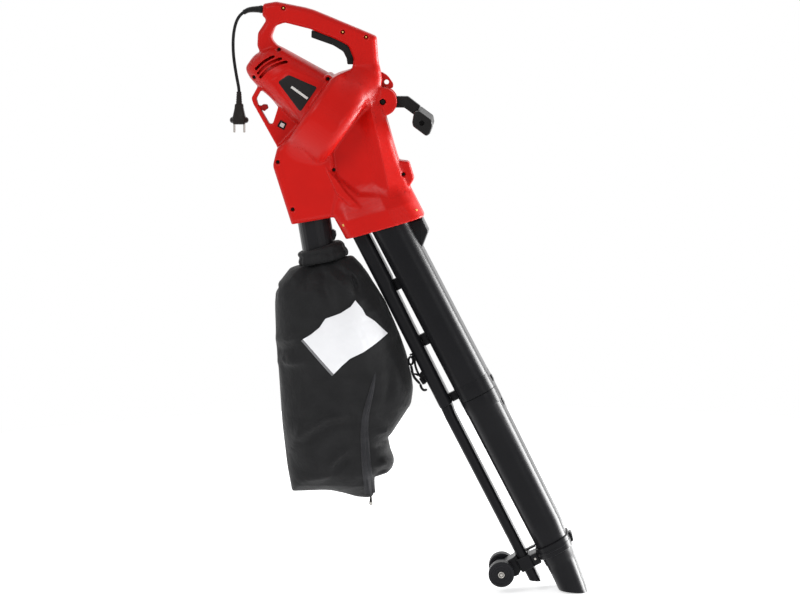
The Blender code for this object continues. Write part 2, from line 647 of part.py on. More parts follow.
def impeller():
    """Back plate, hub and swept blades in one casting."""
    back = IMPELLER_DEPTH / 2.0
    profile = [(back, IMPELLER_RADIUS), (back - 3, IMPELLER_RADIUS), (back - 5, 17), (-12, 15)]
    wheel = fan_turned("impeller", profile, GREY, 32)
    for k in range(BLADE_COUNT):
        base = 2.0 * math.pi * k / BLADE_COUNT
        front, rear = [], []
        for step in range(5):
            part = step / 4.0
            radius = 13.0 + (IMPELLER_RADIUS - 15.0) * part
            angle = base - 0.62 * part ** 1.2
            thick = 1.3 / radius
            front.append((radius * math.cos(angle + thick), radius * math.sin(angle + thick)))
            rear.append((radius * math.cos(angle - thick), radius * math.sin(angle - thick)))
        ring = front + rear[::-1]
        rings = [[fan(u, a, b) for a, b in ring] for u in (back - 2.0, -back + 6.0)]
        unite(wheel, new_object("blade", rings, GREY))
    bore = [(back + 5, SHAFT_RADIUS + FIT_GAP), (-30, SHAFT_RADIUS + FIT_GAP)]
    cut(wheel, fan_turned("hub_bore", bore, GREY, 16))
    set_origin(wheel, fan(0.0, 0.0))


def turned_ring(name, u_high, u_low, outer, inner, finish, count=24):
    """A ring round the fan axis."""
    ring = fan_turned(name, [(u_high, outer), (u_low, outer)], finish, count)
    bore = [(u_high + 3, inner), (u_low - 3, inner)]
    return cut(ring, fan_turned("bore", bore, finish, max(count, 20)))


def motor():
    """Universal motor: fixed stator and brushes, and the rotor on its shaft."""
    stator = turned_ring("motor_stator", 118, 70, 38, 25.5, STEEL, 24)
    for side in (-1, 1):
        flat = [fan(u, side * v, 0) for u, v in ((121, 34), (67, 34), (67, 44), (121, 44))]
        rings = [[(p[0], y, p[2]) for p in flat] for y in (-40.0, 40.0)]
        cut(stator, new_object("flat", rings, STEEL))
    armature = turned_ring("armature", 116, 72, 24.5, SHAFT_RADIUS + FIT_GAP, STEEL, 24)
    for k in range(8):
        angle = 2.0 * math.pi * k / 8
        c, s = math.cos(angle), math.sin(angle)
        ring = [(c * r - s * w, s * r + c * w) for r, w in ((19, -1.2), (27, -1.2), (27, 1.2), (19, 1.2))]
        rings = [[fan(u, a, b) for a, b in ring] for u in (118.0, 70.0)]
        cut(armature, new_object("slot", rings, STEEL))
    set_origin(armature, fan(0.0, 0.0))
    copper = turned_ring("commutator", 138, 124, 12, SHAFT_RADIUS + FIT_GAP, COPPER, 20)
    set_origin(copper, fan(0.0, 0.0))
    shaft = fan_turned("motor_shaft", [(160, SHAFT_RADIUS), (-24, SHAFT_RADIUS)], STEEL, 16)
    set_origin(shaft, fan(0.0, 0.0))
    nut = turned_ring("impeller_nut", -12.3, -20, 9, SHAFT_RADIUS + FIT_GAP, STEEL, 6)
    set_origin(nut, fan(0.0, 0.0))
    turned_ring("rear_bearing", 157, 149, 12, SHAFT_RADIUS + FIT_GAP, STEEL, 20)
    turned_ring("front_bearing", 60, 51, 14, SHAFT_RADIUS + FIT_GAP, STEEL, 20)
    for label, side in (("upper", 1), ("lower", -1)):
        ends = []
        for reach in (12.5, 30.0):
            ends.append([fan(131 + a, side * reach, b) for a, b in rounded_box(4.5, 6.0, 1.0, 1)])
        new_object("brush_holder_" + label, ends, BRASS)
    back = fan_turned("fan_back_plate", [(37.6, 64), (34.4, 64)], BLACK, 32)
    seat = fan_turned("bearing_seat", [(61.5, 17), (36, 20)], BLACK, 24)
    unite(back, seat)
    cut(back, fan_turned("seat_bore", [(64, 14.3), (50.7, 14.3)], BLACK, 20))
    cut(back, fan_turned("shaft_way", [(64, 7), (30, 7)], BLACK, 16))


def cord_set():
    """Strain relief, cord and contour plug."""
    rings = []
    path = [(-89.0, 22.5, 0.0, 6.4), (-103.5, 22.5, 0.0, 6.4), (-104.5, 22.5, 0.0, 7.6),
            (-108.0, 22.5, 0.0, 7.2), (-122.0, 22.5, 0.0, 5.8), (-131.6, 20.9, 18.0, 5.2),
            (-140.0, 16.6, 36.0, 4.8)]
    for x, z, dip, radius in path:
        lean = math.radians(dip)
        rings.append([(x - b * math.sin(lean), a, z + b * math.cos(lean))
                      for a, b in circle(radius, 16)])
    new_object("strain_relief", rings, SOFT_BLACK)
    curve = bpy.data.curves.new("mains_cord", "CURVE")
    curve.dimensions = "3D"
    curve.bevel_depth = CORD_RADIUS * MM
    curve.bevel_resolution = 2
    curve.use_fill_caps = True
    points = cord_points()
    spline = curve.splines.new("POLY")
    spline.points.add(len(points) - 1)
    for spot, point in zip(spline.points, points):
        spot.co = (*(Vector(point) * MM), 1.0)
    cord = bpy.data.objects.new("mains_cord", curve)
    bpy.context.scene.collection.objects.link(cord)
    curve.materials.append(finish_material("mains_cord_finish", SOFT_BLACK))
    sections = [(-137.6, 5.4, 5.4), (-157, 6.4, 6.4), (-158.5, 8.2, 7.6), (-170, 9.4, 8.6),
                (-181, 13.6, 10.6), (-184, 17.6, 12.6), (-195, 17.8, 12.8), (-196.4, 16.4, 11.4)]
    rings = [[(PLUG_X + a, b, z) for a, b in superellipse(half_x, half_y, 2.3, 16)]
             for z, half_x, half_y in sections]
    plug = new_object("plug_body", rings, SOFT_BLACK)
    for label, side in (("left", -1), ("right", 1)):
        x = PLUG_X + side * 9.5
        hole = [[(x + a, b, z) for a, b in circle(2.7, 12)] for z in (-190.0, -200.0)]
        cut(plug, new_object("pin_socket", hole, SOFT_BLACK))
        pin = [[(x + a, b, z) for a, b in circle(r, 12)]
               for z, r in ((-190.3, 2.4), (-211.0, 2.4), (-212.5, 1.2))]
        new_object("plug_pin_" + label, pin, STEEL)


def cord_points():
    """The route's own points joined by a smooth curve, about a point every 7 mm."""
    knots = [Vector((x, 0.0, z)) for x, z in CORD_ROUTE]
    ahead = [knots[0] * 2.0 - knots[1]] + knots + [knots[-1] * 2.0 - knots[-2]]
    points = []
    for k in range(1, len(ahead) - 2):
        a, b, c, d = ahead[k - 1:k + 3]
        steps = max(1, round((c - b).length / 7.0))
        for step in range(steps):
            t = step / steps
            points.append((b * 2.0 + (c - a) * t + (a * 2.0 - b * 5.0 + c * 4.0 - d) * t * t
                           + (b * 3.0 - a - c * 3.0 + d) * t ** 3) * 0.5)
    return points + [knots[-1]]


def auxiliary_handle():
    """Swinging arm with its cross grip, and the bolt that it turns on."""
    layers = rounded_layers(ARM_HALF_WIDTH, 1.5, 1)
    arm = plate("aux_handle_arm", ARM_OUTLINE, layers, SOFT_BLACK)
    cut(arm, cross_rod("bolt_way", BOSS_X, BOSS_Z, [(-12, 4.3), (12, 4.3)], SOFT_BLACK, 16))
    set_origin(arm, (BOSS_X, 0.0, BOSS_Z))
    layers = [(-58, 3.0), (-56, 0.8), (-50, 0.0), (-36, 2.0), (36, 2.0), (50, 0.0), (56, 0.8), (58, 3.0)]
    grip = plate("aux_handle_grip", AUX_GRIP_OUTLINE, layers, SOFT_BLACK)
    pocket = [(150, -150, 2), (166, -164.1, 2), (184.3, -178.4, 2), (198.9, -161.2, 2), (176, -141, 2)]
    cut(grip, slab("arm_pocket", pocket, -ARM_HALF_WIDTH - FIT_GAP, ARM_HALF_WIDTH + FIT_GAP))
    for side in (-1, 1):
        ends = sorted([(side * 46.0, 4.8), (side * 60.0, 4.8)])
        cut(grip, cross_rod("end_hole", 201.0, -188.5, ends, SOFT_BLACK, 16))
    set_origin(grip, (BOSS_X, 0.0, BOSS_Z))
    profile = [(-21.0, 7.0), (-18.4, 7.0), (-18.4, 4.0), (18.4, 4.0), (18.4, 7.0), (21.0, 7.0)]
    cross_rod("aux_pivot_bolt", BOSS_X, BOSS_Z, profile, STEEL, 16)


def hollow_tube(name, rings, inner):
    """A tube with both ends open, from its outer and inner lofts."""
    body = new_object(name, rings, BLACK)
    return cut(body, new_object("bore", inner, BLACK))


def blow_side(s):
    """Where a web meets the blow tube, which drifts away down its length."""
    return BLOW_N[1] + FIT_GAP - 5.4 * (s - 430.0) / 338.0


def tube_corners(corners):
    """Side-view corners from (s, n, radius) places along the tubes."""
    return [(tube(s, n)[0], tube(s, n)[2], radius) for s, n, radius in corners]


def suction_tubes():
    """Wide tube in two lengths, the lower one with its slanted mouth."""
    low, high = SUCTION_N
    width = SUCTION_HALF_WIDTH
    upper = [tube_ring(SUCTION_START, low, high, width, SUCTION_CORNER),
             tube_ring(SUCTION_JOINT - FIT_GAP, low, high + 0.5, width, SUCTION_CORNER)]
    body = new_object("suction_tube_upper", upper, BLACK)
    for s, half in ((516.5, 11.5), (636.0, 12.0), (760.0, 9.0)):
        ends = [(s - half, low + 6), (s - half, blow_side(s - half)),
                (s + half, blow_side(s + half)), (s + half, low + 6)]
        unite(body, slab("web", tube_corners([(a, b, 0.5) for a, b in ends]), -6.0, 6.0, BLACK))
    knob = [(474, -32, 3), (474, -20, 6), (452, 5.8, 4), (422.6, 6.6, 3), (415.5, -32, 3)]
    unite(body, plate("latch_boss", tube_corners(knob), rounded_layers(24.0, 5.0, 2), BLACK))
    bore = [tube_ring(s, low + TUBE_WALL, high - TUBE_WALL, width - TUBE_WALL,
                      SUCTION_CORNER - TUBE_WALL) for s in (SUCTION_START - 5, SUCTION_JOINT + 5)]
    cut(body, new_object("bore", bore, BLACK))
    step = SUCTION_JOINT + 28.0
    lower = [tube_ring(SUCTION_JOINT, low - 0.4, high + 0.8, width + 0.6, SUCTION_CORNER),
             tube_ring(step, low - 0.4, high + 0.4, width + 0.6, SUCTION_CORNER),
             tube_ring(step + 1, low, high - 1.0, width, SUCTION_CORNER),
             tube_ring(1060, low, -24.5, width - 2, SUCTION_CORNER),
             tube_ring(1150, low, -33.0, width - 4, SUCTION_CORNER - 3),
             tube_ring(1176, low, -39.0, width - 5, SUCTION_CORNER - 5),
             tube_ring(1187.5, low, -43.0, width - 6, SUCTION_CORNER - 6, 0.62)]
    bore = [tube_ring(SUCTION_JOINT - 5, low + TUBE_WALL, high - TUBE_WALL, width - TUBE_WALL, 26),
            tube_ring(step, low + TUBE_WALL, high - TUBE_WALL, width - TUBE_WALL, 26),
            tube_ring(1060, low + TUBE_WALL, -27.1, width - 4.6, 26),
            tube_ring(1150, low + TUBE_WALL, -35.6, width - 6.6, 23),
            tube_ring(1176, low + TUBE_WALL, -41.6, width - 7.6, 21),
            tube_ring(1192, low + TUBE_WALL, -46, width - 8.6, 20, 0.62)]
    hollow_tube("suction_tube_lower", lower, bore)


def blow_tubes():
    """Narrow tube in two lengths that runs beside the wide one and drifts away from it."""
    def ring(s, drift, depth, half_y, radius):
        return tube_ring(s, BLOW_N[0] - drift, BLOW_N[0] - drift + depth, half_y, radius, 0.0, 3)
    upper = [ring(SUCTION_START, 0, 28, BLOW_HALF_WIDTH, 11), ring(430, 0, 28, BLOW_HALF_WIDTH, 11),
             ring(768, 3.4, 26, 28, 11)]
    bore = [ring(SUCTION_START - 5, -2.4, 23.2, 27.6, 9), ring(430, -2.4, 23.2, 27.6, 9),
            ring(773, 1.0, 21.2, 25.6, 9)]
    body = new_object("blow_tube_upper", upper, BLACK)
    lug = [(686, -128.5, 1), (693, -141, 2.5), (707, -141, 2.5), (716, -128.5, 1)]
    unite(body, slab("hook_lug", tube_corners(lug), -4.0, 4.0, BLACK))
    cut(body, new_object("bore", bore, BLACK))
    x, _, z = tube(700.0, -136.4)
    cut(body, cross_rod("hook_eye", x, z, [(-6, 2.2), (6, 2.2)], BLACK, 12))
    lower = [ring(768.3, 2.6, 22.5, 26, 10), ring(790, 3.6, 21, 25.5, 9), ring(1130, 4.6, 20, 25, 9)]
    end = tube_ring(1147.0, BLOW_N[0] - 4.6, BLOW_N[0] + 14.4, 24.5, 8.5, 0.62, 3)
    bore = [ring(763, 0.4, 18, 23.8, 8), ring(790, 1.4, 16.6, 23.3, 7), ring(1130, 2.4, 15.6, 22.8, 7)]
    far = tube_ring(1152.0, BLOW_N[0] - 2.4, BLOW_N[0] + 12.2, 22.3, 6.5, 0.62, 3)
    hollow_tube("blow_tube_lower", lower + [end], bore + [far])


def wheel_set():
    """Clamp ring, bracket, axle and the two wheels with their caps."""
    low = SUCTION_N[0]
    outer = [tube_ring(s, low - 3.8, edge, 53.5, 31) for s, edge in ((1096, -24.0), (1119, -26.0))]
    ring = new_object("tube_clamp", outer, BLACK)
    inner = [tube_ring(s, low - FIT_GAP, edge + FIT_GAP, half, radius)
             for s, edge, half, radius in ((1060, -24.5, 50.3, 29), (1150, -33.0, 48.3, 26))]
    cut(ring, new_object("clamp_bore", inner, BLACK))
    block = [(1088, -138.5), (1126, -138.5), (1126, low - 4.2), (1092, low - 4.2)]
    corners = tube_corners([(s, n, 2.5) for s, n in block])
    bracket = plate("wheel_bracket", corners, rounded_layers(29.5, 3.0, 1), BLACK)
    arm = [(346, -1069, 8), (362, -1074, 8), (392, -1066, 3), (400, -1022, 3), (368, -1040, 10),
           (348, -1051, 8)]
    unite(bracket, plate("wheel_arm", arm, rounded_layers(22.0, 3.0, 1), BLACK))
    hole = [tube_ring(s, BLOW_N[0] - 5.0, BLOW_N[0] + 15.8, 25.5, 9.5) for s in (1060, 1150)]
    cut(bracket, new_object("tube_way", hole, BLACK))
    cut(bracket, cross_rod("axle_way", AXLE_X, AXLE_Z, [(-30, 3.3), (30, 3.3)], BLACK, 14))
    cross_rod("wheel_axle", AXLE_X, AXLE_Z, [(-52.0, 3.0), (52.0, 3.0)], STEEL, 14)
    for label, side in (("near", -1), ("far", 1)):
        middle = side * WHEEL_TRACK / 2.0
        half = WHEEL_WIDTH / 2.0
        shoulder = WHEEL_RADIUS - 2.5
        profile = [(middle - half, shoulder), (middle - half + 2.5, WHEEL_RADIUS),
                   (middle + half - 2.5, WHEEL_RADIUS), (middle + half, shoulder)]
        wheel = cross_rod("wheel_" + label, AXLE_X, AXLE_Z, profile, SOFT_BLACK, 24)
        dish = sorted([(middle + side * (half - 2.0), 17.5), (middle + side * (half + 2.0), 19.0)])
        cut(wheel, cross_rod("dish", AXLE_X, AXLE_Z, dish, SOFT_BLACK, 20))
        hub = sorted([(middle + side * (half - 3.0), 6.2), (middle + side * (half - 0.6), 6.2)])
        unite(wheel, cross_rod("hub", AXLE_X, AXLE_Z, hub, SOFT_BLACK, 16))
        hole = [(middle - half - 4, 3.3), (middle + half + 4, 3.3)]
        cut(wheel, cross_rod("hub_bore", AXLE_X, AXLE_Z, hole, SOFT_BLACK, 14))
        set_origin(wheel, (AXLE_X, 0.0, AXLE_Z))
        face = middle + side * (half - 0.3)
        cap = sorted([(face, 6.5), (face + side * 3.0, 5.6)])
        hub_cap = cross_rod("hub_cap_" + label, AXLE_X, AXLE_Z, cap, STEEL, 16)
        depth = sorted([(face - side * 3.0, 3.3), (face + side * 6.0, 3.3)])
        cut(hub_cap, cross_rod("cap_bore", AXLE_X, AXLE_Z, depth, STEEL, 14))


def bag():
    """Spout, latch button, collar ring, bag and the hardware on it."""
    def pipe(*sections):
        return [[spout(t, a, b) for a, b in circle(r, SPOUT_SIDES)] for t, r in sections]
    shell = hollow_tube("bag_spout", pipe((SPOUT_TOP, SPOUT_RADIUS), (SPOUT_END, SPOUT_RADIUS)),
                        pipe((-30, SPOUT_RADIUS - 2.6), (90, SPOUT_RADIUS - 2.6)))
    low, high = SPOUT_RADIUS - 5.0, SPOUT_RADIUS + 5.0
    window = [spout(25.4, low), spout(46.6, low), spout(46.6, high), spout(25.4, high)]
    cut(shell, new_object("latch_window", [[(p[0], y, p[2]) for p in window] for y in (-6.4, 6.4)], BLACK))
    catch = [(SPOUT_RADIUS - 2.4, 26.0), (SPOUT_RADIUS + 1.5, 26.0), (SPOUT_RADIUS + 5.5, 30.0),
             (SPOUT_RADIUS + 5.5, 38.0), (SPOUT_RADIUS + 1.5, 46.0), (SPOUT_RADIUS - 2.4, 46.0)]
    latch = new_object("spout_latch", [[spout(t, r, y) for r, t in catch] for y in (-6.0, 6.0)], BLACK)
    set_origin(latch, spout(36.0, SPOUT_RADIUS))
    hoop = new_object("bag_collar", pipe((60, 40), (63, 42.5), (80, 43.5), (SPOUT_END, 42)), BLACK)
    cut(hoop, new_object("collar_bore", pipe((50, SPOUT_RADIUS + FIT_GAP), (95, SPOUT_RADIUS + FIT_GAP)),
                         BLACK))
    rings = [[spout(SPOUT_END + FIT_GAP, a, b) for a, b in superellipse(41.0, 41.0, 2.0, 22)]]
    for row, (z, left, right, half_y) in enumerate(BAG_SECTIONS):
        middle, half_x = (left + right) / 2.0, (right - left) / 2.0
        slope = 0.13 * max(0.0, 1.0 - row / 3.0)
        rings.append([(middle + a, b, z + slope * a)
                      for a, b in superellipse(half_x, half_y, 2.4, 22)])
    new_object("collection_bag", rings, FABRIC)
    puller = [(98.8, -919.6), (102.0, -919.6), (103.0, -933.0), (101.8, -937.5), (99.0, -937.5),
              (97.8, -933.0)]
    tag = new_object("zip_puller", [[(x, y, z) for x, z in puller] for y in (-1.2, 1.2)], STEEL)
    set_origin(tag, (ZIP_X, 0.0, ZIP_Z))
    slider = [(96.5, -913.6), (104.3, -913.6), (103.3, -917.8), (97.5, -917.8)]
    new_object("zip_slider", [[(x, y, z) for x, z in slider] for y in (-3.0, 3.0)], STEEL)
    hook_path = [(184.5, -650.0), (185.0, -664.0), (187.0, -680.0), (190.5, -694.0), (196.5, -704.5),
                 (204.5, -709.5), (210.5, -706.5)]
    rings = []
    for k, (x, z) in enumerate(hook_path):
        ahead = Vector(hook_path[min(k + 1, len(hook_path) - 1)])
        behind = Vector(hook_path[max(k - 1, 0)])
        way = (ahead - behind).normalized()
        rings.append([(x - way.y * a, b, z + way.x * a) for a, b in circle(2.2, 10)])
    new_object("snap_hook", rings, BLACK)


def main():
    clear_scene()
    housing()
    controls()
    flap()
    impeller()
    motor()
    cord_set()
    auxiliary_handle()
    suction_tubes()
    blow_tubes()
    wheel_set()
    bag()


main()
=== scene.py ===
"""Looks of a corded leaf blower vacuum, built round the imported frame.

Sizes are in millimetres in the frame of the part: X runs to the right of the side view,
Y away from the viewer, +Z up, and the origin is the middle of the main grip.
"""

import json
import logging
import math
from dataclasses import dataclass
from enum import Enum
from typing import Callable, Optional, Sequence, Union

import bpy
import numpy as np
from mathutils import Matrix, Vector

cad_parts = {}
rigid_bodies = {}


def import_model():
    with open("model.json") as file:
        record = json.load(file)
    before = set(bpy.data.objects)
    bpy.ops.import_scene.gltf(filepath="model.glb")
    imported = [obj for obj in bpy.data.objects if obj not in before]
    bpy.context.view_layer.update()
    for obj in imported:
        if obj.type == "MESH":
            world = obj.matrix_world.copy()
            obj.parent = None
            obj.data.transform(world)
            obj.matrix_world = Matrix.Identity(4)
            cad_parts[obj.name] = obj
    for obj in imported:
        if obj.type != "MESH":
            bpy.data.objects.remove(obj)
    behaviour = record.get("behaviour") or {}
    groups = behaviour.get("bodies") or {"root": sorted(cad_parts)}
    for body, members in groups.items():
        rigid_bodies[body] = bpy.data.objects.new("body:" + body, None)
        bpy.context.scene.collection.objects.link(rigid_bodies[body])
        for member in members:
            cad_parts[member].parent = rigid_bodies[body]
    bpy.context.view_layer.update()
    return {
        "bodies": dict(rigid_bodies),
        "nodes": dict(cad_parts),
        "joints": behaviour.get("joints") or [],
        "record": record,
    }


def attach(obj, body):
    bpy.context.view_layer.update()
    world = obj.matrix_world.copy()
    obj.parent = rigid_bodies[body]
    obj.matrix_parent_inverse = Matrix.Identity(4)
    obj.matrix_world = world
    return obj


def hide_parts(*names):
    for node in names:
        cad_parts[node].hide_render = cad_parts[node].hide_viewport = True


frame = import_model()

LOG = logging.getLogger("leaf_blower_vacuum")
MM = 0.001
HALF_GAP = 0.15
WALL = 3.2
CORE = (0.04, 0.01)
AUX_AXIS = (125.5, -151.5)
LEVER_AXIS = (-110.8, -165.0)

Array = np.ndarray
Socket = Union[float, tuple, bpy.types.NodeSocket]


class Body(str, Enum):
    """Rigid bodies of the frame that pieces ride on."""

    HOUSING = "housing"
    TRIGGER = "trigger"
    LEVER = "selector_lever"
    AUX_HANDLE = "aux_handle"
    WHEEL_NEAR = "wheel_near"
    WHEEL_FAR = "wheel_far"
    PULLER = "zip_puller"


class Slot(str, Enum):
    """Material slots of the record."""

    RED_SHELL = "red_shell"
    BLACK = "black_plastic"
    SOFT_BLACK = "soft_black_plastic"
    GREY = "grey_plastic"
    CLOTH = "bag_fabric"
    STEEL = "steel"
    BRASS = "brass"
    COPPER = "copper"


@dataclass(frozen=True)
class SideFrame:
    """A slanted frame in the side view: s runs down along it and n across to the right.

    Args:
        x: Origin's place to the right.
        z: Origin's height.
        tilt: Degrees between s and straight down.
    """

    x: float
    z: float
    tilt: float

    def _turn(self) -> tuple[float, float]:
        """Sine and cosine of the tilt."""
        angle = math.radians(self.tilt)
        return math.sin(angle), math.cos(angle)

    def point(self, s: Union[float, Array], n: Union[float, Array], y: Union[float, Array] = 0.0) -> Array:
        """Points of the part's frame from places in this one.

        Args:
            s: Places down the frame.
            n: Places across it.
            y: Places through the thickness.

        Returns:
            Points, with x, y and z on the last axis.
        """
        sine, cosine = self._turn()
        s, n, y = np.broadcast_arrays(*(np.asarray(v, float) for v in (s, n, y)))
        return np.stack([self.x + s * sine + n * cosine, y, self.z - s * cosine + n * sine], -1)

    def place(self, x: Array, z: Array) -> tuple[Array, Array]:
        """The s and n of points given by x and z."""
        sine, cosine = self._turn()
        right, up = x - self.x, z - self.z
        return right * sine - up * cosine, right * cosine + up * sine


FAN = SideFrame(29.0, -177.0, 55.0)
TUBES = SideFrame(0.0, 0.0, 27.4)
SPOUT = SideFrame(-7.7, -377.5, 9.3)


# Finishes


def linear(code: str) -> tuple[float, float, float, float]:
    """Linear colour of an sRGB hex code."""
    values = [int(code[k:k + 2], 16) / 255.0 for k in (1, 3, 5)]
    return (*(v / 12.92 if v <= 0.04045 else ((v + 0.055) / 1.055) ** 2.4 for v in values), 1.0)


def tinted(colour: Sequence[float], gain: float, lift: float = 0.0) -> tuple[float, ...]:
    """A darker or paler colour: each channel times the gain, plus the lift."""
    return (*(min(1.0, v * gain + lift) for v in colour[:3]), 1.0)


def cells(size_mm: float) -> float:
    """Scale at which a pattern's cells are about size_mm across."""
    return 1.0 / (size_mm * MM)


class NodeSheet:
    """A material's node tree that is filled one node at a time.

    Args:
        name: Material name.
    """

    def __init__(self, name: str) -> None:
        """Starts with the plain shader and the piece's own coordinates."""
        self.material = bpy.data.materials.new(name)
        self.material.use_nodes = True
        self.tree = self.material.node_tree
        self.shader = self.tree.nodes["Principled BSDF"]
        self.place = self.add("TexCoord").outputs["Object"]

    def add(self, kind: str, settings: Optional[dict] = None, **inputs: Socket) -> bpy.types.Node:
        """Adds one node with its settings and links.

        Args:
            kind: Type of the node, without the words ShaderNode.
            settings: Its properties.
            **inputs: Values or sockets for its inputs, as feed names them.

        Returns:
            The new node.
        """
        node = self.tree.nodes.new("ShaderNode" + kind)
        for name, value in (settings or {}).items():
            setattr(node, name, value)
        for name, value in inputs.items():
            self.feed(node, name.replace("_", " "), value)
        return node

    def feed(self, node: bpy.types.Node, name: str, value: Socket) -> None:
        """Sets or links one input.

        Args:
            node: The node.
            name: Name of the input, or i and its number.
            value: A value, or the socket to link.
        """
        socket = node.inputs[int(name[1:])] if name[0] == "i" and name[1:].isdigit() else node.inputs[name]
        if isinstance(value, bpy.types.NodeSocket):
            self.tree.links.new(value, socket)
        else:
            socket.default_value = value


@dataclass(frozen=True)
class Finish:
    """A named surface finish: each kind of material adds its own nodes.

    Args:
        name: Material name.
        colour: sRGB hex code of the surface.
        roughness: Principled roughness.
        slot: The record's material slot; not used.
        specular: Principled specular level, where 0.5 is an even gloss.
    """

    name: str
    colour: str
    roughness: float
    slot: Slot
    specular: float = 0.5

    def dress(self, sheet: NodeSheet) -> None:
        """Adds the finish's nodes to a sheet."""
        raise NotImplementedError

    def wear(self, sheet: NodeSheet, patch_mm: float, detail: float, spread: tuple, grain_mm: float,
             depth_mm: float) -> None:
        """Adds rougher and smoother patches over a fine grain.

        Args:
            sheet: The material's nodes.
            patch_mm: Size of the patches.
            detail: How ragged they are.
            spread: How far the roughness falls and rises in them.
            grain_mm: Size of the grain.
            depth_mm: Its depth.
        """
        low, high = (self.roughness + away for away in spread)
        patches, grain = (sheet.add("TexNoise", Vector=sheet.place, Scale=cells(size), Detail=rag)
                          for size, rag in ((patch_mm, detail), (grain_mm, 2.0)))
        rough = sheet.add("MapRange", Value=patches.outputs["Fac"], From_Min=0.3, From_Max=0.7,
                          To_Min=low, To_Max=high)
        sheet.feed(sheet.shader, "Roughness", rough.outputs[0])
        bump = sheet.add("Bump", Height=grain.outputs["Fac"], Distance=depth_mm * MM, Strength=1.0)
        sheet.feed(sheet.shader, "Normal", bump.outputs["Normal"])

    def material(self) -> bpy.types.Material:
        """Finds the finish's material, or makes it the first time."""
        found = bpy.data.materials.get(self.name)
        if found:
            return found
        sheet = NodeSheet(self.name)
        sheet.shader.inputs["Roughness"].default_value = self.roughness
        sheet.shader.inputs["Specular IOR Level"].default_value = self.specular
        self.dress(sheet)
        sheet.material.diffuse_color = linear(self.colour)
        return sheet.material


@dataclass(frozen=True)
class MouldedPlastic(Finish):
    """Moulded plastic: a slight drift of colour, paler convex edges that are partly wear and partly a painted
    highlight, mould grain and an uneven sheen.

    Args:
        grain_mm: Size of the grain, drawn coarser than the real one so that it shows.
        grain_depth_mm: Depth of the grain.
        drift: How much darker the colour drifts.
        edge_gloss: Sheen where the surface turns away.
    """

    grain_mm: float = 0.7
    grain_depth_mm: float = 0.02
    drift: float = 0.10
    edge_gloss: float = 0.6

    def dress(self, sheet: NodeSheet) -> None:
        """Adds the drift, the paler edges of slight wear and painted highlight, roughness, grain and sheen.
        """
        base = linear(self.colour)
        clouds = sheet.add("TexNoise", Vector=sheet.place, Scale=cells(38.0), Detail=3.0)
        share = sheet.add("MapRange", Value=clouds.outputs["Fac"], From_Min=0.35, From_Max=0.65)
        colour = sheet.add("Mix", {"data_type": "RGBA"}, i0=share.outputs[0], i6=base,
                           i7=tinted(base, 1.0 - self.drift))
        # Convex edges are painted paler: partly slight wear, partly a painted highlight where the edges catch
        # the light.
        edges = sheet.add("NewGeometry")
        worn_and_lit_edges = sheet.add("MapRange", Value=edges.outputs["Pointiness"], From_Min=0.53,
                         From_Max=0.62, To_Max=0.28)
        colour = sheet.add("Mix", {"data_type": "RGBA"}, i0=worn_and_lit_edges.outputs[0],
                           i6=colour.outputs[2], i7=tinted(base, 1.5, 0.02))
        sheet.feed(sheet.shader, "Base Color", colour.outputs[2])
        self.wear(sheet, 9.0, 3.0, (-0.05, 0.06), self.grain_mm, self.grain_depth_mm)
        facing = sheet.add("LayerWeight", Blend=0.5)
        sheen = sheet.add("MapRange", Value=facing.outputs["Facing"], From_Min=0.14,
                          From_Max=0.5, To_Max=self.edge_gloss)
        sheet.feed(sheet.shader, "Coat Weight", sheen.outputs[0])
        sheet.shader.inputs["Coat Roughness"].default_value = 0.3


@dataclass(frozen=True)
class Metal(Finish):
    """Bare metal with dull patches and fine scratches, drawn coarser than real ones so that they show."""

    def dress(self, sheet: NodeSheet) -> None:
        """Adds the patches and scratches."""
        base = linear(self.colour)
        dull = sheet.add("TexNoise", Vector=sheet.place, Scale=cells(3.0), Detail=4.0)
        colour = sheet.add("Mix", {"data_type": "RGBA"}, i0=dull.outputs["Fac"], i6=base,
                           i7=tinted(base, 0.7))
        sheet.feed(sheet.shader, "Base Color", colour.outputs[2])
        sheet.shader.inputs["Metallic"].default_value = 1.0
        self.wear(sheet, 1.5, 4.0, (-0.08, 0.12), 0.35, 0.008)


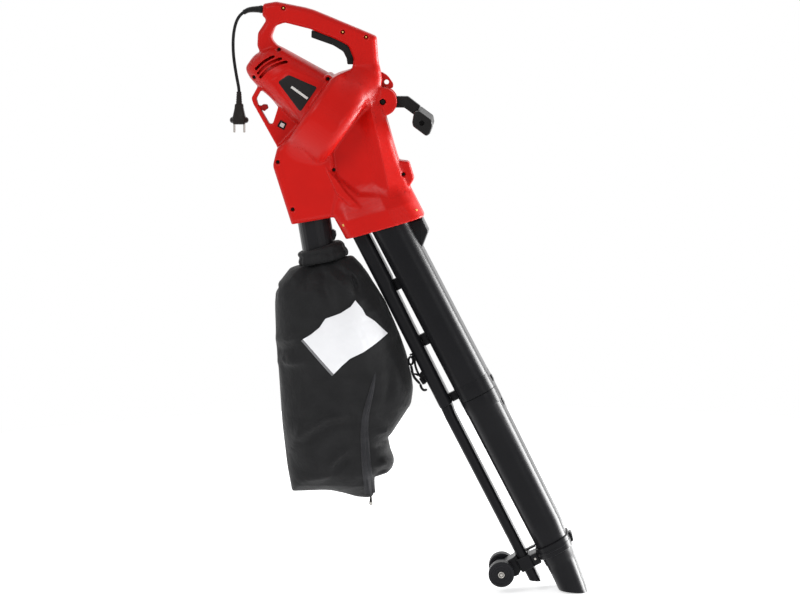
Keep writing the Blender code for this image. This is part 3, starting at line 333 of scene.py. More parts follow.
@dataclass(frozen=True)
class WovenCloth(Finish):
    """Coated plain weave: two crossed thread waves over soft creases.

    Args:
        thread_mm: Thread spacing, about three times the real one so that it shows.
        thread_depth_mm: Height of the threads.
        dust: How much paler the dusty patches are.
    """

    thread_mm: float = 1.5
    thread_depth_mm: float = 0.10
    dust: float = 0.5

    def dress(self, sheet: NodeSheet) -> None:
        """Adds the threads, dust and creases."""
        base = linear(self.colour)
        threads = []
        for way in ((1.0, 0.75, 0.0), (0.0, 0.45, 1.0)):
            along = sheet.add("VectorMath", {"operation": "DOT_PRODUCT"}, i0=sheet.place, i1=way)
            spot = sheet.add("CombineXYZ", X=along.outputs["Value"])
            wave = sheet.add("TexWave", {"bands_direction": "X"}, Vector=spot.outputs[0],
                             Scale=0.314 * cells(self.thread_mm))
            threads.append(wave.outputs["Fac"])
        cross = sheet.add("Math", {"operation": "MAXIMUM"}, i0=threads[0], i1=threads[1])
        clouds = sheet.add("TexNoise", Vector=sheet.place, Scale=cells(34.0), Detail=4.0)
        dust = sheet.add("MapRange", Value=clouds.outputs["Fac"], From_Min=0.35, From_Max=0.75,
                         To_Max=self.dust)
        colour = sheet.add("Mix", {"data_type": "RGBA"}, i0=dust.outputs[0], i6=base,
                           i7=tinted(base, 1.9, 0.004))
        gaps = sheet.add("MapRange", Value=cross.outputs[0], To_Min=0.4, To_Max=0.0)
        colour = sheet.add("Mix", {"data_type": "RGBA"}, i0=gaps.outputs[0],
                           i6=colour.outputs[2], i7=base)
        sheet.feed(sheet.shader, "Base Color", colour.outputs[2])
        folds = sheet.add("TexNoise", Vector=sheet.place, Scale=cells(17.0), Detail=3.0)
        crease = sheet.add("Bump", Height=folds.outputs["Fac"], Distance=1.7 * MM, Strength=1.0)
        weave = sheet.add("Bump", Height=cross.outputs[0], Distance=self.thread_depth_mm * MM,
                          Strength=1.0, Normal=crease.outputs["Normal"])
        sheet.feed(sheet.shader, "Normal", weave.outputs["Normal"])
        sheet.shader.inputs["Sheen Weight"].default_value = 0.06
        sheet.shader.inputs["Sheen Roughness"].default_value = 0.5


# Injection-moulded ABS: a clean, full red with soft highlights and no grain to be seen.
RED_ABS = MouldedPlastic("red_abs_plastic", "#B8130D", 0.33, Slot.RED_SHELL, 0.13, grain_depth_mm=0.010,
                         drift=0.05, edge_gloss=0.3)
# The shell's red ABS darkened as painted shade: the small lever looks darker than the shell round it.
SHADED_RED_ABS = MouldedPlastic("red_abs_painted_shade", "#86100D", 0.42, Slot.RED_SHELL, 0.12)
# Moulded polypropylene: near black, with a pale sheen where the tubes turn away.
BLACK_PP = MouldedPlastic("black_polypropylene", "#141416", 0.34, Slot.BLACK, 0.08, grain_depth_mm=0.010)
# Moulded nylon: a softer black whose fine grain keeps highlights dull.
SOFT_BLACK = MouldedPlastic("soft_black_nylon", "#1C1B1B", 0.48, Slot.SOFT_BLACK, 0.08, grain_mm=0.5,
                            grain_depth_mm=0.03)
# Moulded polyethylene: a slightly blue black with a broad, waxy sheen on the tread.
TYRE_BLACK = MouldedPlastic("wheel_polyethylene", "#19191C", 0.42, Slot.SOFT_BLACK, 0.12,
                            grain_depth_mm=0.03, edge_gloss=0.45)
# Moulded nylon in its plain grey: even and dull.
GREY_PA = MouldedPlastic("grey_nylon", "#77777A", 0.5, Slot.GREY)
# Extruded PVC: an even, dull black line with no sheen at its edges.
LEAD_PVC = MouldedPlastic("cord_pvc", "#19191A", 0.42, Slot.SOFT_BLACK, 0.1, grain_depth_mm=0.01,
                          edge_gloss=0.0)
# Moulded PVC: warmer and softer than the cord.
PLUG_PVC = MouldedPlastic("plug_pvc", "#201D1B", 0.5, Slot.SOFT_BLACK, 0.1, grain_depth_mm=0.015)
# Drawn steel: bright, with faint marks.
STEEL = Metal("plain_steel", "#B4B1AC", 0.34, Slot.STEEL)
# Blackened steel: dark screw heads with a dim glint.
DARK_STEEL = Metal("blackened_steel", "#1D1A18", 0.5, Slot.STEEL)
# Turned brass: small warm glints.
BRASS = Metal("turned_brass", "#C9A15C", 0.3, Slot.BRASS)
# Drawn copper: reddish bars, a little dull.
COPPER = Metal("copper_bars", "#B5714E", 0.38, Slot.COPPER)
# Woven polyester with a coating: matt black that creases show on as soft greys.
BAG_CLOTH = WovenCloth("coated_bag_cloth", "#131314", 0.6, Slot.CLOTH, 0.13)
# Woven binding tape, a shade paler than the bag as a painted highlight on the zip flap, so that the flap
# stands out.
LIT_TAPE_CLOTH = WovenCloth("binding_tape_painted_highlight", "#28282A", 0.75, Slot.CLOTH, 0.08, thread_mm=1.2)
# Coated white cloth: a bright, even patch.
WHITE_PANEL = WovenCloth("coated_white_panel", "#DCDCDE", 0.6, Slot.CLOTH, 0.08, dust=0.12)
# Grey cloth as painted shade: a thin dull line along the panel's lower-left edge.
EDGE_SHADE_CLOTH = WovenCloth("panel_edge_painted_shade", "#6C6C6E", 0.7, Slot.CLOTH, 0.08)
# Dark polyester film: smooth and flat beside the moulded shell.
LABEL_FILM = MouldedPlastic("label_film", "#1E1D1D", 0.4, Slot.GREY, 0.1, grain_depth_mm=0.004)
# Pale polyester film: a light grey field.
PALE_FILM = MouldedPlastic("label_film_pale", "#C9C7C3", 0.45, Slot.GREY, 0.3, grain_depth_mm=0.004)


# Outlines and surfaces


def rounded(corners: Sequence[tuple], inset: float = 0.0, step: float = 10.0) -> Array:
    """Points of a polygon with rounded corners, its edges moved inwards by the inset.

    Args:
        corners: Counter-clockwise (x, z, radius) triples.
        inset: Distance that the edges move inwards.
        step: Degrees per facet round a corner.

    Returns:
        Points as an array of two columns.
    """
    table = np.array(corners, float)
    spots, radii = table[:, :2], table[:, 2]
    points = []
    for k in range(len(spots)):
        way_in = spots[k] - spots[k - 1]
        way_out = spots[(k + 1) % len(spots)] - spots[k]
        reach = min(np.hypot(*way_in), np.hypot(*way_out))
        way_in, way_out = way_in / np.hypot(*way_in), way_out / np.hypot(*way_out)
        normal_in, normal_out = np.array([-way_in[1], way_in[0]]), np.array([-way_out[1], way_out[0]])
        turn = way_in[0] * way_out[1] - way_in[1] * way_out[0]
        angle = math.acos(max(-1.0, min(1.0, float(way_in @ way_out))))
        corner = spots[k] + (normal_in + normal_out) * inset / (1.0 + float(normal_in @ normal_out))
        half_tangent = math.tan(angle / 2.0)
        radius = max(0.25, min(radii[k] - math.copysign(inset, turn), 0.46 * reach / max(half_tangent, 0.01)))
        side = math.copysign(1.0, turn)
        centre = corner - way_in * radius * half_tangent + normal_in * radius * side
        start = corner - way_in * radius * half_tangent - centre
        swing = side * np.linspace(0.0, angle, max(1, round(math.degrees(angle) / step)) + 1)
        cosine, sine = np.cos(swing)[:, None], np.sin(swing)[:, None]
        points.append(centre + start * cosine + np.array([-start[1], start[0]]) * sine)
    return np.concatenate(points)


def even(points: Array, count: int) -> Array:
    """A closed outline with its points spread evenly along it."""
    return walk(np.concatenate([points, points[:1]]), count + 1)[:-1]


def rounded_box(half_a: float, half_b: float, radius: float, steps: int = 10) -> Array:
    """Points of a rectangle with round corners: a quarter circle about each corner's centre.

    Args:
        half_a: Half its first side.
        half_b: Half its second side.
        radius: Radius of the corners.
        steps: Facets in each corner.

    Returns:
        Points as an array of two columns.
    """
    radius = min(radius, half_a, half_b)
    quarter = np.linspace(0.0, math.pi / 2.0, steps + 1)
    rows = []
    for sign_a, sign_b, first in ((1, 1, 0.0), (-1, 1, 0.5), (-1, -1, 1.0), (1, -1, 1.5)):
        angle = quarter + first * math.pi
        rows.append(np.stack([sign_a * (half_a - radius) + radius * np.cos(angle),
                              sign_b * (half_b - radius) + radius * np.sin(angle)], -1))
    return np.concatenate(rows)


def rim(corners: Sequence[tuple], steps: int = 4) -> Array:
    """A turned profile: (along, radius, rounding) corners, drawn counter-clockwise."""
    return rounded(corners, step=90.0 / steps)


def stud(low: float, high: float, *outer: tuple, steps: int = 4) -> Array:
    """A solid stud's turned profile: a core line from low to high, then the outer corners."""
    return rim([(low, *CORE), (high, *CORE), *outer], steps)


def both_sides(half: Sequence[tuple]) -> list[tuple]:
    """Corners of one side, then their mirror images in the opposite order."""
    return [*half, *((-first, *rest) for first, *rest in reversed(half))]


def walk(line: Sequence[tuple], count: int) -> Array:
    """Points spread evenly along a polyline, at equal steps of the walked length."""
    line = np.array(line, float)
    steps = np.concatenate([[0.0], np.cumsum(np.hypot(*np.diff(line, axis=0).T))])
    at = np.linspace(0.0, steps[-1], count)
    return np.stack([np.interp(at, steps, line[:, k]) for k in (0, 1)], -1)


def between(table: Array, a: Array, b: Array) -> Array:
    """Values between the entries of a table's first two axes.

    Each is the sum of the four entries round it times (1 - a)(1 - b), a(1 - b), (1 - a)b and ab,
    where a and b are the shares left over from whole steps.

    Args:
        table: The entries.
        a: Places along the first axis, in steps.
        b: Places along the second axis, in steps.

    Returns:
        One value per place, or one row per place where the table has a third axis.
    """
    i = np.clip(np.floor(a).astype(int), 0, table.shape[0] - 2)
    k = np.clip(np.floor(b).astype(int), 0, table.shape[1] - 2)
    a, b = (share.reshape(share.shape + (1,) * (table.ndim - 2)) for share in (a - i, b - k))
    return (table[i, k] * (1 - a) * (1 - b) + table[i + 1, k] * a * (1 - b)
            + table[i, k + 1] * (1 - a) * b + table[i + 1, k + 1] * a * b)


@dataclass
class Surface:
    """Points in millimetres with the quads and caps over them.

    Args:
        points: One row per point.
        quads: One row of four point numbers per face.
        caps: Faces of any other count.
        uv: One row per quad, four corners of two values in metres, or None.
        normals: One row per point, or None.
    """

    points: Array
    quads: Array
    caps: list
    uv: Optional[Array] = None
    normals: Optional[Array] = None

    @classmethod
    def loft(cls, rings: Array, closed: bool = False) -> "Surface":
        """A surface through rings of equal point counts; its uv is the mean length across and along.

        Args:
            rings: Points by ring, place in the ring and axis.
            closed: Whether the last ring runs on into the first, or else both ends are capped.

        Returns:
            The surface.
        """
        rows, count = rings.shape[:2]
        number = np.arange(rows * count).reshape(rows, count)
        grid, spots = np.concatenate([number, number[:, :1]], 1), np.concatenate([rings, rings[:, :1]], 1)
        if closed:
            grid, spots = np.concatenate([grid, grid[:1]]), np.concatenate([spots, spots[:1]])
        across, along = (np.cumsum(np.linalg.norm(np.diff(spots, axis=axis), axis=2).mean(1 - axis))
                         for axis in (1, 0))
        u, v = np.meshgrid(np.concatenate([[0.0], across]) * MM, np.concatenate([[0.0], along]) * MM)
        lengths = np.stack([u, v], -1)
        quads, uv = (np.stack([table[:-1, :-1], table[:-1, 1:], table[1:, 1:], table[1:, :-1]], 2)
                     for table in (grid, lengths))
        caps = [] if closed else [list(range(count))[::-1], list(number[-1])]
        return cls(rings.reshape(-1, 3), quads.reshape(-1, 4), caps, uv.reshape(-1, 4, 2))

    def joined(self, *others: "Surface") -> "Surface":
        """This surface and others as one.

        Args:
            *others: Surfaces to add.

        Returns:
            The joined surface, which carries no normals.
        """
        result = self
        for other in others:
            shift = len(result.points)
            caps = result.caps + [[shift + k for k in cap] for cap in other.caps]
            uv = None if result.uv is None or other.uv is None else np.concatenate([result.uv, other.uv])
            result = Surface(np.concatenate([result.points, other.points]),
                             np.concatenate([result.quads, other.quads + shift]), caps, uv)
        return result

    def mirrored(self) -> "Surface":
        """The same surface on the other side of the parting plane, its faces still outwards."""
        flip = np.array([1.0, -1.0, 1.0])
        normals = None if self.normals is None else self.normals * flip
        return Surface(self.points * flip, self.quads[:, ::-1], [cap[::-1] for cap in self.caps],
                       None if self.uv is None else self.uv[:, ::-1], normals)

    def piece(self, name: str, finish: Finish, body: Body, replaces: Sequence[str] = (),
              sharp: float = 32.0) -> bpy.types.Object:
        """Makes the object, with its finish, and lets it ride on a body.

        Args:
            name: Object name.
            finish: The surface finish.
            body: The rigid body that it rides on.
            replaces: CAD nodes that it stands for.
            sharp: Edges steeper than this many degrees stay crisp.

        Returns:
            The new object.
        """
        mesh = bpy.data.meshes.new(name)
        mesh.vertices.add(len(self.points))
        mesh.vertices.foreach_set("co", (self.points * MM).astype(np.float32).ravel())
        sizes = np.array([4] * len(self.quads) + [len(cap) for cap in self.caps], np.int32)
        corners = np.concatenate([self.quads.ravel(), *[np.array(cap) for cap in self.caps]]).astype(np.int32)
        mesh.loops.add(len(corners))
        mesh.loops.foreach_set("vertex_index", corners)
        mesh.polygons.add(len(sizes))
        starts = np.concatenate([[0], np.cumsum(sizes)[:-1]]).astype(np.int32)
        mesh.polygons.foreach_set("loop_start", starts)
        mesh.update(calc_edges=True)
        if self.uv is not None:
            layer = mesh.uv_layers.new(name="length")
            values = np.zeros((len(corners), 2), np.float32)
            values[:len(self.quads) * 4] = self.uv.reshape(-1, 2)
            layer.data.foreach_set("uv", values.ravel())
        mesh.validate()
        mesh.shade_smooth()
        if self.normals is not None:
            mesh.normals_split_custom_set_from_vertices(self.normals)
        else:
            mesh.set_sharp_from_angle(angle=math.radians(sharp))
        item = bpy.data.objects.new(name, mesh)
        bpy.context.scene.collection.objects.link(item)
        item.data.materials.append(finish.material())
        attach(item, body.value)
        if replaces:
            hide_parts(*replaces)
        LOG.info("piece %s: %d points on %s", name, len(self.points), body.value)
        return item


def merged(parts: Sequence[Surface]) -> Surface:
    """Several surfaces as one."""
    return parts[0].joined(*parts[1:])


def turned(profile: Array, place: Callable, count: int = 64) -> Surface:
    """A closed profile of (along, radius) turned about an axis.

    At angle t a profile point stands at its own place along the axis, radius times cos t across
    and radius times sin t aside.

    Args:
        profile: The profile's points.
        place: Turns along, across and aside arrays into points.
        count: Steps round the axis.

    Returns:
        The closed surface.
    """
    angle = np.linspace(0.0, 2.0 * math.pi, count, endpoint=False)[:, None]
    along, radius = profile[None, :, 0], profile[None, :, 1]
    spots = place(along + 0.0 * angle, radius * np.cos(angle), radius * np.sin(angle))
    return Surface.loft(spots, closed=True)


def cross_axis(x: float, z: float) -> Callable:
    """Places turned points about an axis along Y."""
    return lambda along, across, aside: np.stack([x + across, along, z + aside], -1)


# Moulded forms as distance fields


def soft_min(a: Array, b: Array, reach: Union[float, Array]) -> Array:
    """Union of two fields with a fillet of about that reach.

    With m = 0.5 + (b - a) / 2 reach, kept between 0 and 1, the value is b + (a - b)m - reach m(1 - m).
    """
    mix = np.clip(0.5 + 0.5 * (b - a) / reach, 0.0, 1.0)
    return b + (a - b) * mix - reach * mix * (1.0 - mix)


def soft_max(a: Array, b: Array, reach: float) -> Array:
    """Common part of two fields with a rounded edge."""
    return -soft_min(-a, -b, reach)


def round_max(a: Array, b: Array, radius: Union[float, Array]) -> Array:
    """Common part of two fields with an edge of a true radius.

    With both fields raised by the radius, the value is min(max(a, b), 0) plus the length of
    (max(a, 0), max(b, 0)), less the radius.
    """
    a, b = a + radius, b + radius
    return np.minimum(np.maximum(a, b), 0.0) + np.hypot(np.maximum(a, 0.0), np.maximum(b, 0.0)) - radius


def cut(body: Array, *tools: Array) -> Array:
    """Takes tools out of a field, which leaves the larger of it and each tool's opposite."""
    for tool in tools:
        body = np.maximum(body, -tool)
    return body


def ease(value: Array, low: float, high: float) -> Array:
    """A smooth step from 0 at low to 1 at high: with t the share of the way, t squared times (3 - 2t)."""
    t = np.clip((value - low) / (high - low), 0.0, 1.0)
    return t * t * (3.0 - 2.0 * t)


class Block:
    """A box of sample points that distance fields are drawn in.

    Args:
        low: Lowest corner.
        high: Highest corner.
        step: Distance between samples.
    """

    def __init__(self, low: Sequence[float], high: Sequence[float], step: float) -> None:
        """Lays out the samples."""
        self.low, self.step = np.array(low, float), step
        counts = [int(math.ceil((b - a) / step)) + 1 for a, b in zip(low, high)]
        x, y, z = (a + step * np.arange(n) for a, n in zip(low, counts))
        self.x, self.y, self.z = x[:, None, None], y[None, :, None], z[None, None, :]
        self.side_x, self.side_z = np.meshgrid(x, z, indexing="ij")

    def polygon(self, points: Array) -> Array:
        """Distance to a polygon in the side view, which is its nearest edge's.

        Args:
            points: The polygon's corners.

        Returns:
            Distances over the side view, below zero inside.
        """
        x, z = self.side_x, self.side_z
        nearest = np.full(x.shape, 1e9)
        inside = np.zeros(x.shape, bool)
        for (ax, az), (bx, bz) in zip(points, np.roll(points, -1, 0)):
            dx, dz = bx - ax, bz - az
            t = np.clip(((x - ax) * dx + (z - az) * dz) / (dx * dx + dz * dz + 1e-12), 0.0, 1.0)
            nearest = np.minimum(nearest, (x - ax - t * dx) ** 2 + (z - az - t * dz) ** 2)
            crosses = (az > z) != (bz > z)
            inside ^= crosses & (x < (bx - ax) * (z - az) / ((bz - az) + 1e-12) + ax)
        return np.sqrt(nearest) * np.where(inside, -1.0, 1.0)

    def outline(self, corners: Sequence[tuple], inset: float = 0.0) -> Array:
        """Distance to an outline with round corners, its edges moved inwards by the inset."""
        return self.polygon(rounded(corners, inset))

    def plate(self, side: Array, half: Union[float, Array], radius: float) -> Array:
        """A side-view field given half a thickness across Y, with rims of a radius."""
        half = half[:, None, :] if isinstance(half, np.ndarray) else half
        return round_max(side[:, None, :], np.abs(self.y) - half, radius)

    def rod(self, x: float, z: float, radius: float) -> Array:
        """Distance to an endless round bar along Y, in the side view."""
        return np.hypot(self.side_x - x, self.side_z - z) - radius

    def skin(self, field: Array) -> Surface:
        """The field's zero surface: one point per crossed cell, moved onto the surface.

        A cell's point starts at the mean of its edges' crossings, each at share a / (a - b) between the
        values a and b, and is then moved twice by the field over the square of its slope.

        Args:
            field: Samples, below zero inside.

        Returns:
            The surface with its smooth normals.
        """
        inside = field < 0.0
        nx, ny, nz = field.shape
        total = np.zeros((nx - 1, ny - 1, nz - 1), np.int8)
        corners = [(a, b, c) for a in (0, 1) for b in (0, 1) for c in (0, 1)]
        for a, b, c in corners:
            total += inside[a:nx - 1 + a, b:ny - 1 + b, c:nz - 1 + c]
        active = (total > 0) & (total < 8)
        number = np.full(active.shape, -1, np.int64)
        crossed_cells = np.stack(np.nonzero(active), -1)
        number[active] = np.arange(len(crossed_cells))
        spot, count = np.zeros((len(crossed_cells), 3)), np.zeros(len(crossed_cells))
        for first in corners:
            for axis in range(3):
                if first[axis]:
                    continue
                last = tuple(1 if k == axis else v for k, v in enumerate(first))
                at = field[tuple((crossed_cells + first).T)]
                to = field[tuple((crossed_cells + last).T)]
                crossed = (at < 0.0) != (to < 0.0)
                part = at[crossed] / (at[crossed] - to[crossed])
                spot[crossed] += np.array(first) + part[:, None] * (np.array(last) - np.array(first))
                count[crossed] += 1
        spot = spot / count[:, None] + crossed_cells
        quads = []
        for axis in range(3):
            one, two = (axis + 1) % 3, (axis + 2) % 3
            lower = [slice(1, -1)] * 3
            upper = [slice(1, -1)] * 3
            lower[axis], upper[axis] = slice(0, -1), slice(1, None)
            change = inside[tuple(lower)] != inside[tuple(upper)]
            where = np.stack(np.nonzero(change), -1) + 1
            where[:, axis] -= 1
            outward = inside[tuple(where.T)]
            ring = []
            for back_one, back_two in ((1, 1), (0, 1), (0, 0), (1, 0)):
                cell = where.copy()
                cell[:, one] -= back_one
                cell[:, two] -= back_two
                ring.append(number[tuple(cell.T)])
            ring = np.stack(ring, -1)
            ring[~outward] = ring[~outward][:, ::-1]
            quads.append(ring)
        slopes = np.gradient(field)
        for _ in range(2):
            value, slope = self._sample(field, slopes, spot)
            size = np.maximum((slope ** 2).sum(1), 0.05)
            move = np.clip(value / size, -0.45, 0.45)
            spot = spot - slope * move[:, None]
        _, slope = self._sample(field, slopes, spot)
        normals = slope / np.maximum(np.linalg.norm(slope, axis=1, keepdims=True), 1e-9)
        return Surface(self.low + self.step * spot, np.concatenate(quads), [], None, normals)

    @staticmethod
    def _sample(field: Array, slopes: Sequence[Array], spot: Array) -> tuple[Array, Array]:
        """The field and its slopes at places in steps: the eight samples round one, weighted by nearness."""
        limit = np.array(field.shape) - 2
        cell = np.clip(np.floor(spot).astype(int), 0, limit)
        part = spot - cell
        value, slope = np.zeros(len(spot)), np.zeros((len(spot), 3))
        for a in (0, 1):
            for b in (0, 1):
                for c in (0, 1):
                    weight = (np.abs(1 - a - part[:, 0]) * np.abs(1 - b - part[:, 1])
                              * np.abs(1 - c - part[:, 2]))
                    at = tuple((cell + (a, b, c)).T)
                    value += weight * field[at]
                    slope += weight[:, None] * np.stack([g[at] for g in slopes], -1)
        return value, slope


# Housing

HANDLE = [
    (-102, 33, 4), (-104, 11, 4), (-96, 3, 6), (-112.5, -22, 14), (-114, -46, 14), (-100, -80, 8),
    (-50, -100, 8), (20, -140, 8), (105, -150, 8), (121, -108, 6), (116, -70, 60), (113, -28, 7),
    (-12, 24, 90), (-78, 37, 14)]
HAND_HOLE = [
    (-78, -9, 11), (-87, -32, 13), (-76.0, -44.5, 8), (31, -103.2, 3), (45, -96.8, 8), (66, -89.5, 7),
    (69, -71, 12), (59, -46, 14), (34, -33.5, 14), (-13, -15, 5), (-61, -3, 12)]
LOOP = [(-112, -121, 5), (-126, -146, 9), (-122, -158, 12), (-76, -241, 3), (-25, -215, 5),
        (-15, -170, 5), (-80, -120, 5)]
LOOP_WINDOW = [(-107, -129, 5), (-117, -147, 7), (-114, -158, 8), (-91, -198, 5), (-84, -194, 5),
               (-74, -163, 3), (-90, -140, 5)]
BAG_DUCT = [(-48, -385, 2), (33, -370.5, 2), (42, -330, 5), (30, -240, 5), (-30, -212, 5),
            (-61, -227, 5), (-75, -239, 7), (-83.5, -272, 22)]
INTAKE = [(59, -408.5, 2), (201, -368, 2), (157, -268, 8), (146.5, -235, 40), (131.5, -181, 40),
          (121.5, -128, 30), (113, -86, 8), (75, -93, 8), (20, -150, 8), (8, -300, 5), (33, -369.5, 3)]
LUG = [(138, -322, 4), (173, -319, 5), (185, -299, 6), (175, -266, 7), (140, -262, 5)]
TRIGGER_SLOT = [(-12, -6, 1), (-12, -34, 1), (30, -52, 3), (50, -62, 3), (58, -84, 2), (74, -84, 3),
                (74, -58, 4), (59, -32, 4), (34, -20, 4)]
HANGING_TAB = [(113.5, -97, 3), (113.5, -125, 2), (133, -125, 2), (137, -128, 2), (143, -128, 4),
               (145, -120, 12), (134, -104, 14), (123, -97, 4)]
DISH = [(98, -139, 5), (62, -122, 3), (-22, -243, 3), (5, -268, 4), (20, -280, 8), (43, -303, 10),
        (78.5, -332, 12), (141, -333, 6), (134, -277, 40), (112, -187, 60)]
DISH_FALL = [(98, -139, 5), (62, -122, 3), (-45, -262, 3), (10, -335, 20), (78, -362, 12), (146, -362, 6),
             (134, -277, 40), (112, -187, 60)]
DISH_LIP = [(6, -258, 3), (14.3, -272, 3), (36.7, -325, 16), (80, -361, 3), (86, -350, 3),
            (56, -318, 14), (34, -287, 10), (18, -264, 4)]
RIDGE = np.array([(70, -60), (100, -139.5), (135.9, -319.4), (150, -420)], float)
PANEL = [(-71.7, -111.7, 4), (-29.4, -169, 4), (3.4, -121.7, 3), (-51.2, -98.2, 5)]
PANEL_BAR = [(-47.3, -122.6, 0.6), (-16.2, -144.6, 0.6), (-13.6, -140.8, 0.6), (-44.7, -118.8, 0.6)]
PICTOGRAM = [(-77.0, -199.5, 1.5), (-63.6, -206.6, 1.5), (-58.0, -194.2, 1.5), (-70.0, -187.0, 1.5)]
PICTOGRAM_MIDDLE = (-66.6, -197.6)


@dataclass(frozen=True)
class HousingSize:
    """Driving sizes of the moulded housing.

    Args:
        grip_half: Half width of the handle.
        grip_edge: Radius of the handle's outer edges.
        hole_edge: Radius of the edges round the hand opening.
        drum_radius: Radius of the fan drum.
        drum_drop: How far the drum's axis lies below the motor's.
        drum_back: How far the drum reaches towards the motor.
        drum_front: How far it reaches away from it.
        drum_back_edge: Radius of its edge there.
        drum_front_edge: Radius of its other edge.
        round_power: Roundness of the barrel's section, where 2 is an ellipse.
        bowl: Depth of the hollow beside the drum.
        lip: Height of the lip round the hollow's foot.
        boss: Place and radius of the eye that carries the swinging handle.
        lever: Place of the selector lever's axis.
        duct_half: Half width of the bag duct.
        collar_end: End of the tube collar, down the tubes.
        socket_floor: Floor of the tube sockets, down the tubes.
        vent_centre: Middle of the curved vents.
        vent_half: Half width of a vent.
        screw: Radius of a screw pocket.
        step: Distance between samples of the shell.
    """

    grip_half: float = 17.0
    grip_edge: float = 9.5
    hole_edge: float = 7.0
    drum_radius: float = 94.0
    drum_drop: float = 9.0
    drum_back: float = 41.5
    drum_front: float = 40.5
    drum_back_edge: float = 11.0
    drum_front_edge: float = 22.0
    round_power: float = 2.35
    bowl: float = 11.0
    lip: float = 6.8
    boss: tuple = (*AUX_AXIS, 27.0)
    lever: tuple = LEVER_AXIS
    duct_half: float = 45.0
    collar_end: float = 391.4
    socket_floor: float = 377.7
    vent_centre: tuple = (-45.3, -149.1)
    vent_half: float = 2.3
    screw: float = 4.2
    step: float = 2.02


class Housing:
    """The moulded shell, drawn as one distance field and parted at Y = 0.

    Args:
        size: Driving sizes.
    """

    BARREL = np.array([(6, 4.5, 57.5, 61), (60, 4.3, 55.8, 59), (112, 6, 48.4, 54), (150, 6.3, 43.9, 48),
                       (168, 3.2, 36.7, 41), (179, -2.5, 26, 31), (187.5, -7.5, 14, 18)], float)
    VENTS = ((75.3, 98.0, 143.0), (83.3, 105.0, 140.5), (91.5, 113.0, 138.5))
    SCREWS = ((-63.2, 25.5), (49.6, -19.5), (93.8, -28.9), (-71.5, -52.2), (22.5, -107.0), (-119.0, -104.8),
              (-73.3, -264.7), (33.4, -279.6), (165.0, -289.7), (-45.5, -355.1))
    CORNER_SCREW = (22.5, -107.0, 8.0, 41.0)
    BRASS = ((189.8, -356.0, 2.5, 0.0), (52.0, -384.0, 2.5, 0.0),
             *((x, z, 1.7, 2.6) for x, z in SCREWS[:3]))
    TUBE_SOCKETS = ((-55.2, 36.3, 52.3, 29.0), (-115.0, 14.3, 30.3, 11.0))

    def __init__(self, size: HousingSize = HousingSize()) -> None:
        """Lays out the samples of one half."""
        self.size = size
        self.block = Block((-138, -3, -415), (207, 99, 40), size.step)
        self.outside: Array = np.zeros(0)

    def outer(self) -> Array:
        """The filled outside form: handle, barrel, ducts, collar, drum and bosses, joined by fillets.

        Round the hand opening and the boss the fillets grow by bells, exp of minus the squared share of
        the way out, so that the hollows run out softly.

        Returns:
            The field of both halves.
        """
        size, block = self.size, self.block
        hole = block.outline(HAND_HOLE)
        handle = block.plate(block.outline(HANDLE), size.grip_half, size.grip_edge)
        handle = cut(handle, block.plate(hole, 80.0, 2.0))
        edge = size.hole_edge
        round_off = edge - np.hypot(np.clip(edge - hole[:, None, :], 0, edge),
                                    np.clip(np.abs(block.y) - (size.grip_half - edge), 0, None))
        handle = np.maximum(handle, np.where(hole[:, None, :] < edge, -round_off, -9.0))
        body = soft_min(handle, self._barrel(), 5.0)
        body = soft_min(body, self._loop(), 3.0)
        duct = block.plate(block.outline(BAG_DUCT), size.duct_half, 9.0)
        lower = soft_min(duct, self._intake(), 2.5)
        lower = soft_min(lower, self._collar(), 9.0)
        near_boss = np.hypot(block.side_x - 88.0, block.side_z + 118.0)
        reach = (5.0 + 20.0 * np.exp(-(near_boss / 45.0) ** 2))[:, None, :]
        body = soft_min(body, lower, reach)
        foot = np.hypot(block.side_x + 40.0, block.side_z + 248.0)
        soft = 4.0 + 44.0 * np.exp(-(near_boss / 40.0) ** 2) + 19.0 * np.exp(-(foot / 31.0) ** 2)
        body = soft_min(body, self._drum(), soft[:, None, :])
        body = soft_max(body, -hole[:, None, :], 3.0)
        x, z, radius = size.boss
        body = soft_min(body, block.plate(block.rod(x, z, radius), 22.0, 2.5), 3.0)
        x, z, radius, half = self.CORNER_SCREW
        body = soft_min(body, block.plate(block.rod(x, z, radius), half, 2.0), 2.0)
        return soft_min(body, block.plate(block.outline(LUG), 17.0, 3.0), 3.0)

    def _fan_places(self) -> tuple[Array, Array]:
        """Places of the samples along the motor's axis, towards its end, and across it."""
        s, n = FAN.place(self.block.side_x, self.block.side_z)
        return -s, n

    def _barrel(self) -> Array:
        """The motor barrel, with a sunk field for the plate.

        Its section is a rounded oval: the p-th root of (|v - m| / a)^p + (|y| / b)^p, less 1, times the
        smaller of a and b.

        Returns:
            The barrel's field.
        """
        u, v = self._fan_places()
        power = self.size.round_power
        table = self.BARREL
        middle, half_v, half_y = (np.interp(u, table[:, 0], table[:, k]) for k in (1, 2, 3))
        across = (np.abs(v - middle) / half_v)[:, None, :]
        aside = np.abs(self.block.y) / half_y[:, None, :]
        shape = (across ** power + aside ** power) ** (1.0 / power) - 1.0
        shape = shape * np.minimum(half_v, half_y)[:, None, :]
        ends = np.maximum(u - 187.0, 4.0 - u)[:, None, :]
        field = soft_max(shape, ends, 4.0)
        panel = self.block.outline(PANEL, -9.0)
        return field + 1.3 * ease(-panel, -2.0, 2.5)[:, None, :]

    def _drum(self) -> Array:
        """The fan drum: a short cylinder whose edge radius eases from front to back."""
        u, v = self._fan_places()
        size = self.size
        away = np.hypot((v + size.drum_drop)[:, None, :], self.block.y)
        edge = size.drum_front_edge + (size.drum_back_edge - size.drum_front_edge) * ease(u, -12.0, 12.0)
        edge = edge[:, None, :]
        ends = np.maximum(u - size.drum_back, -u - size.drum_front)[:, None, :]
        return round_max(ends, away - size.drum_radius, edge)

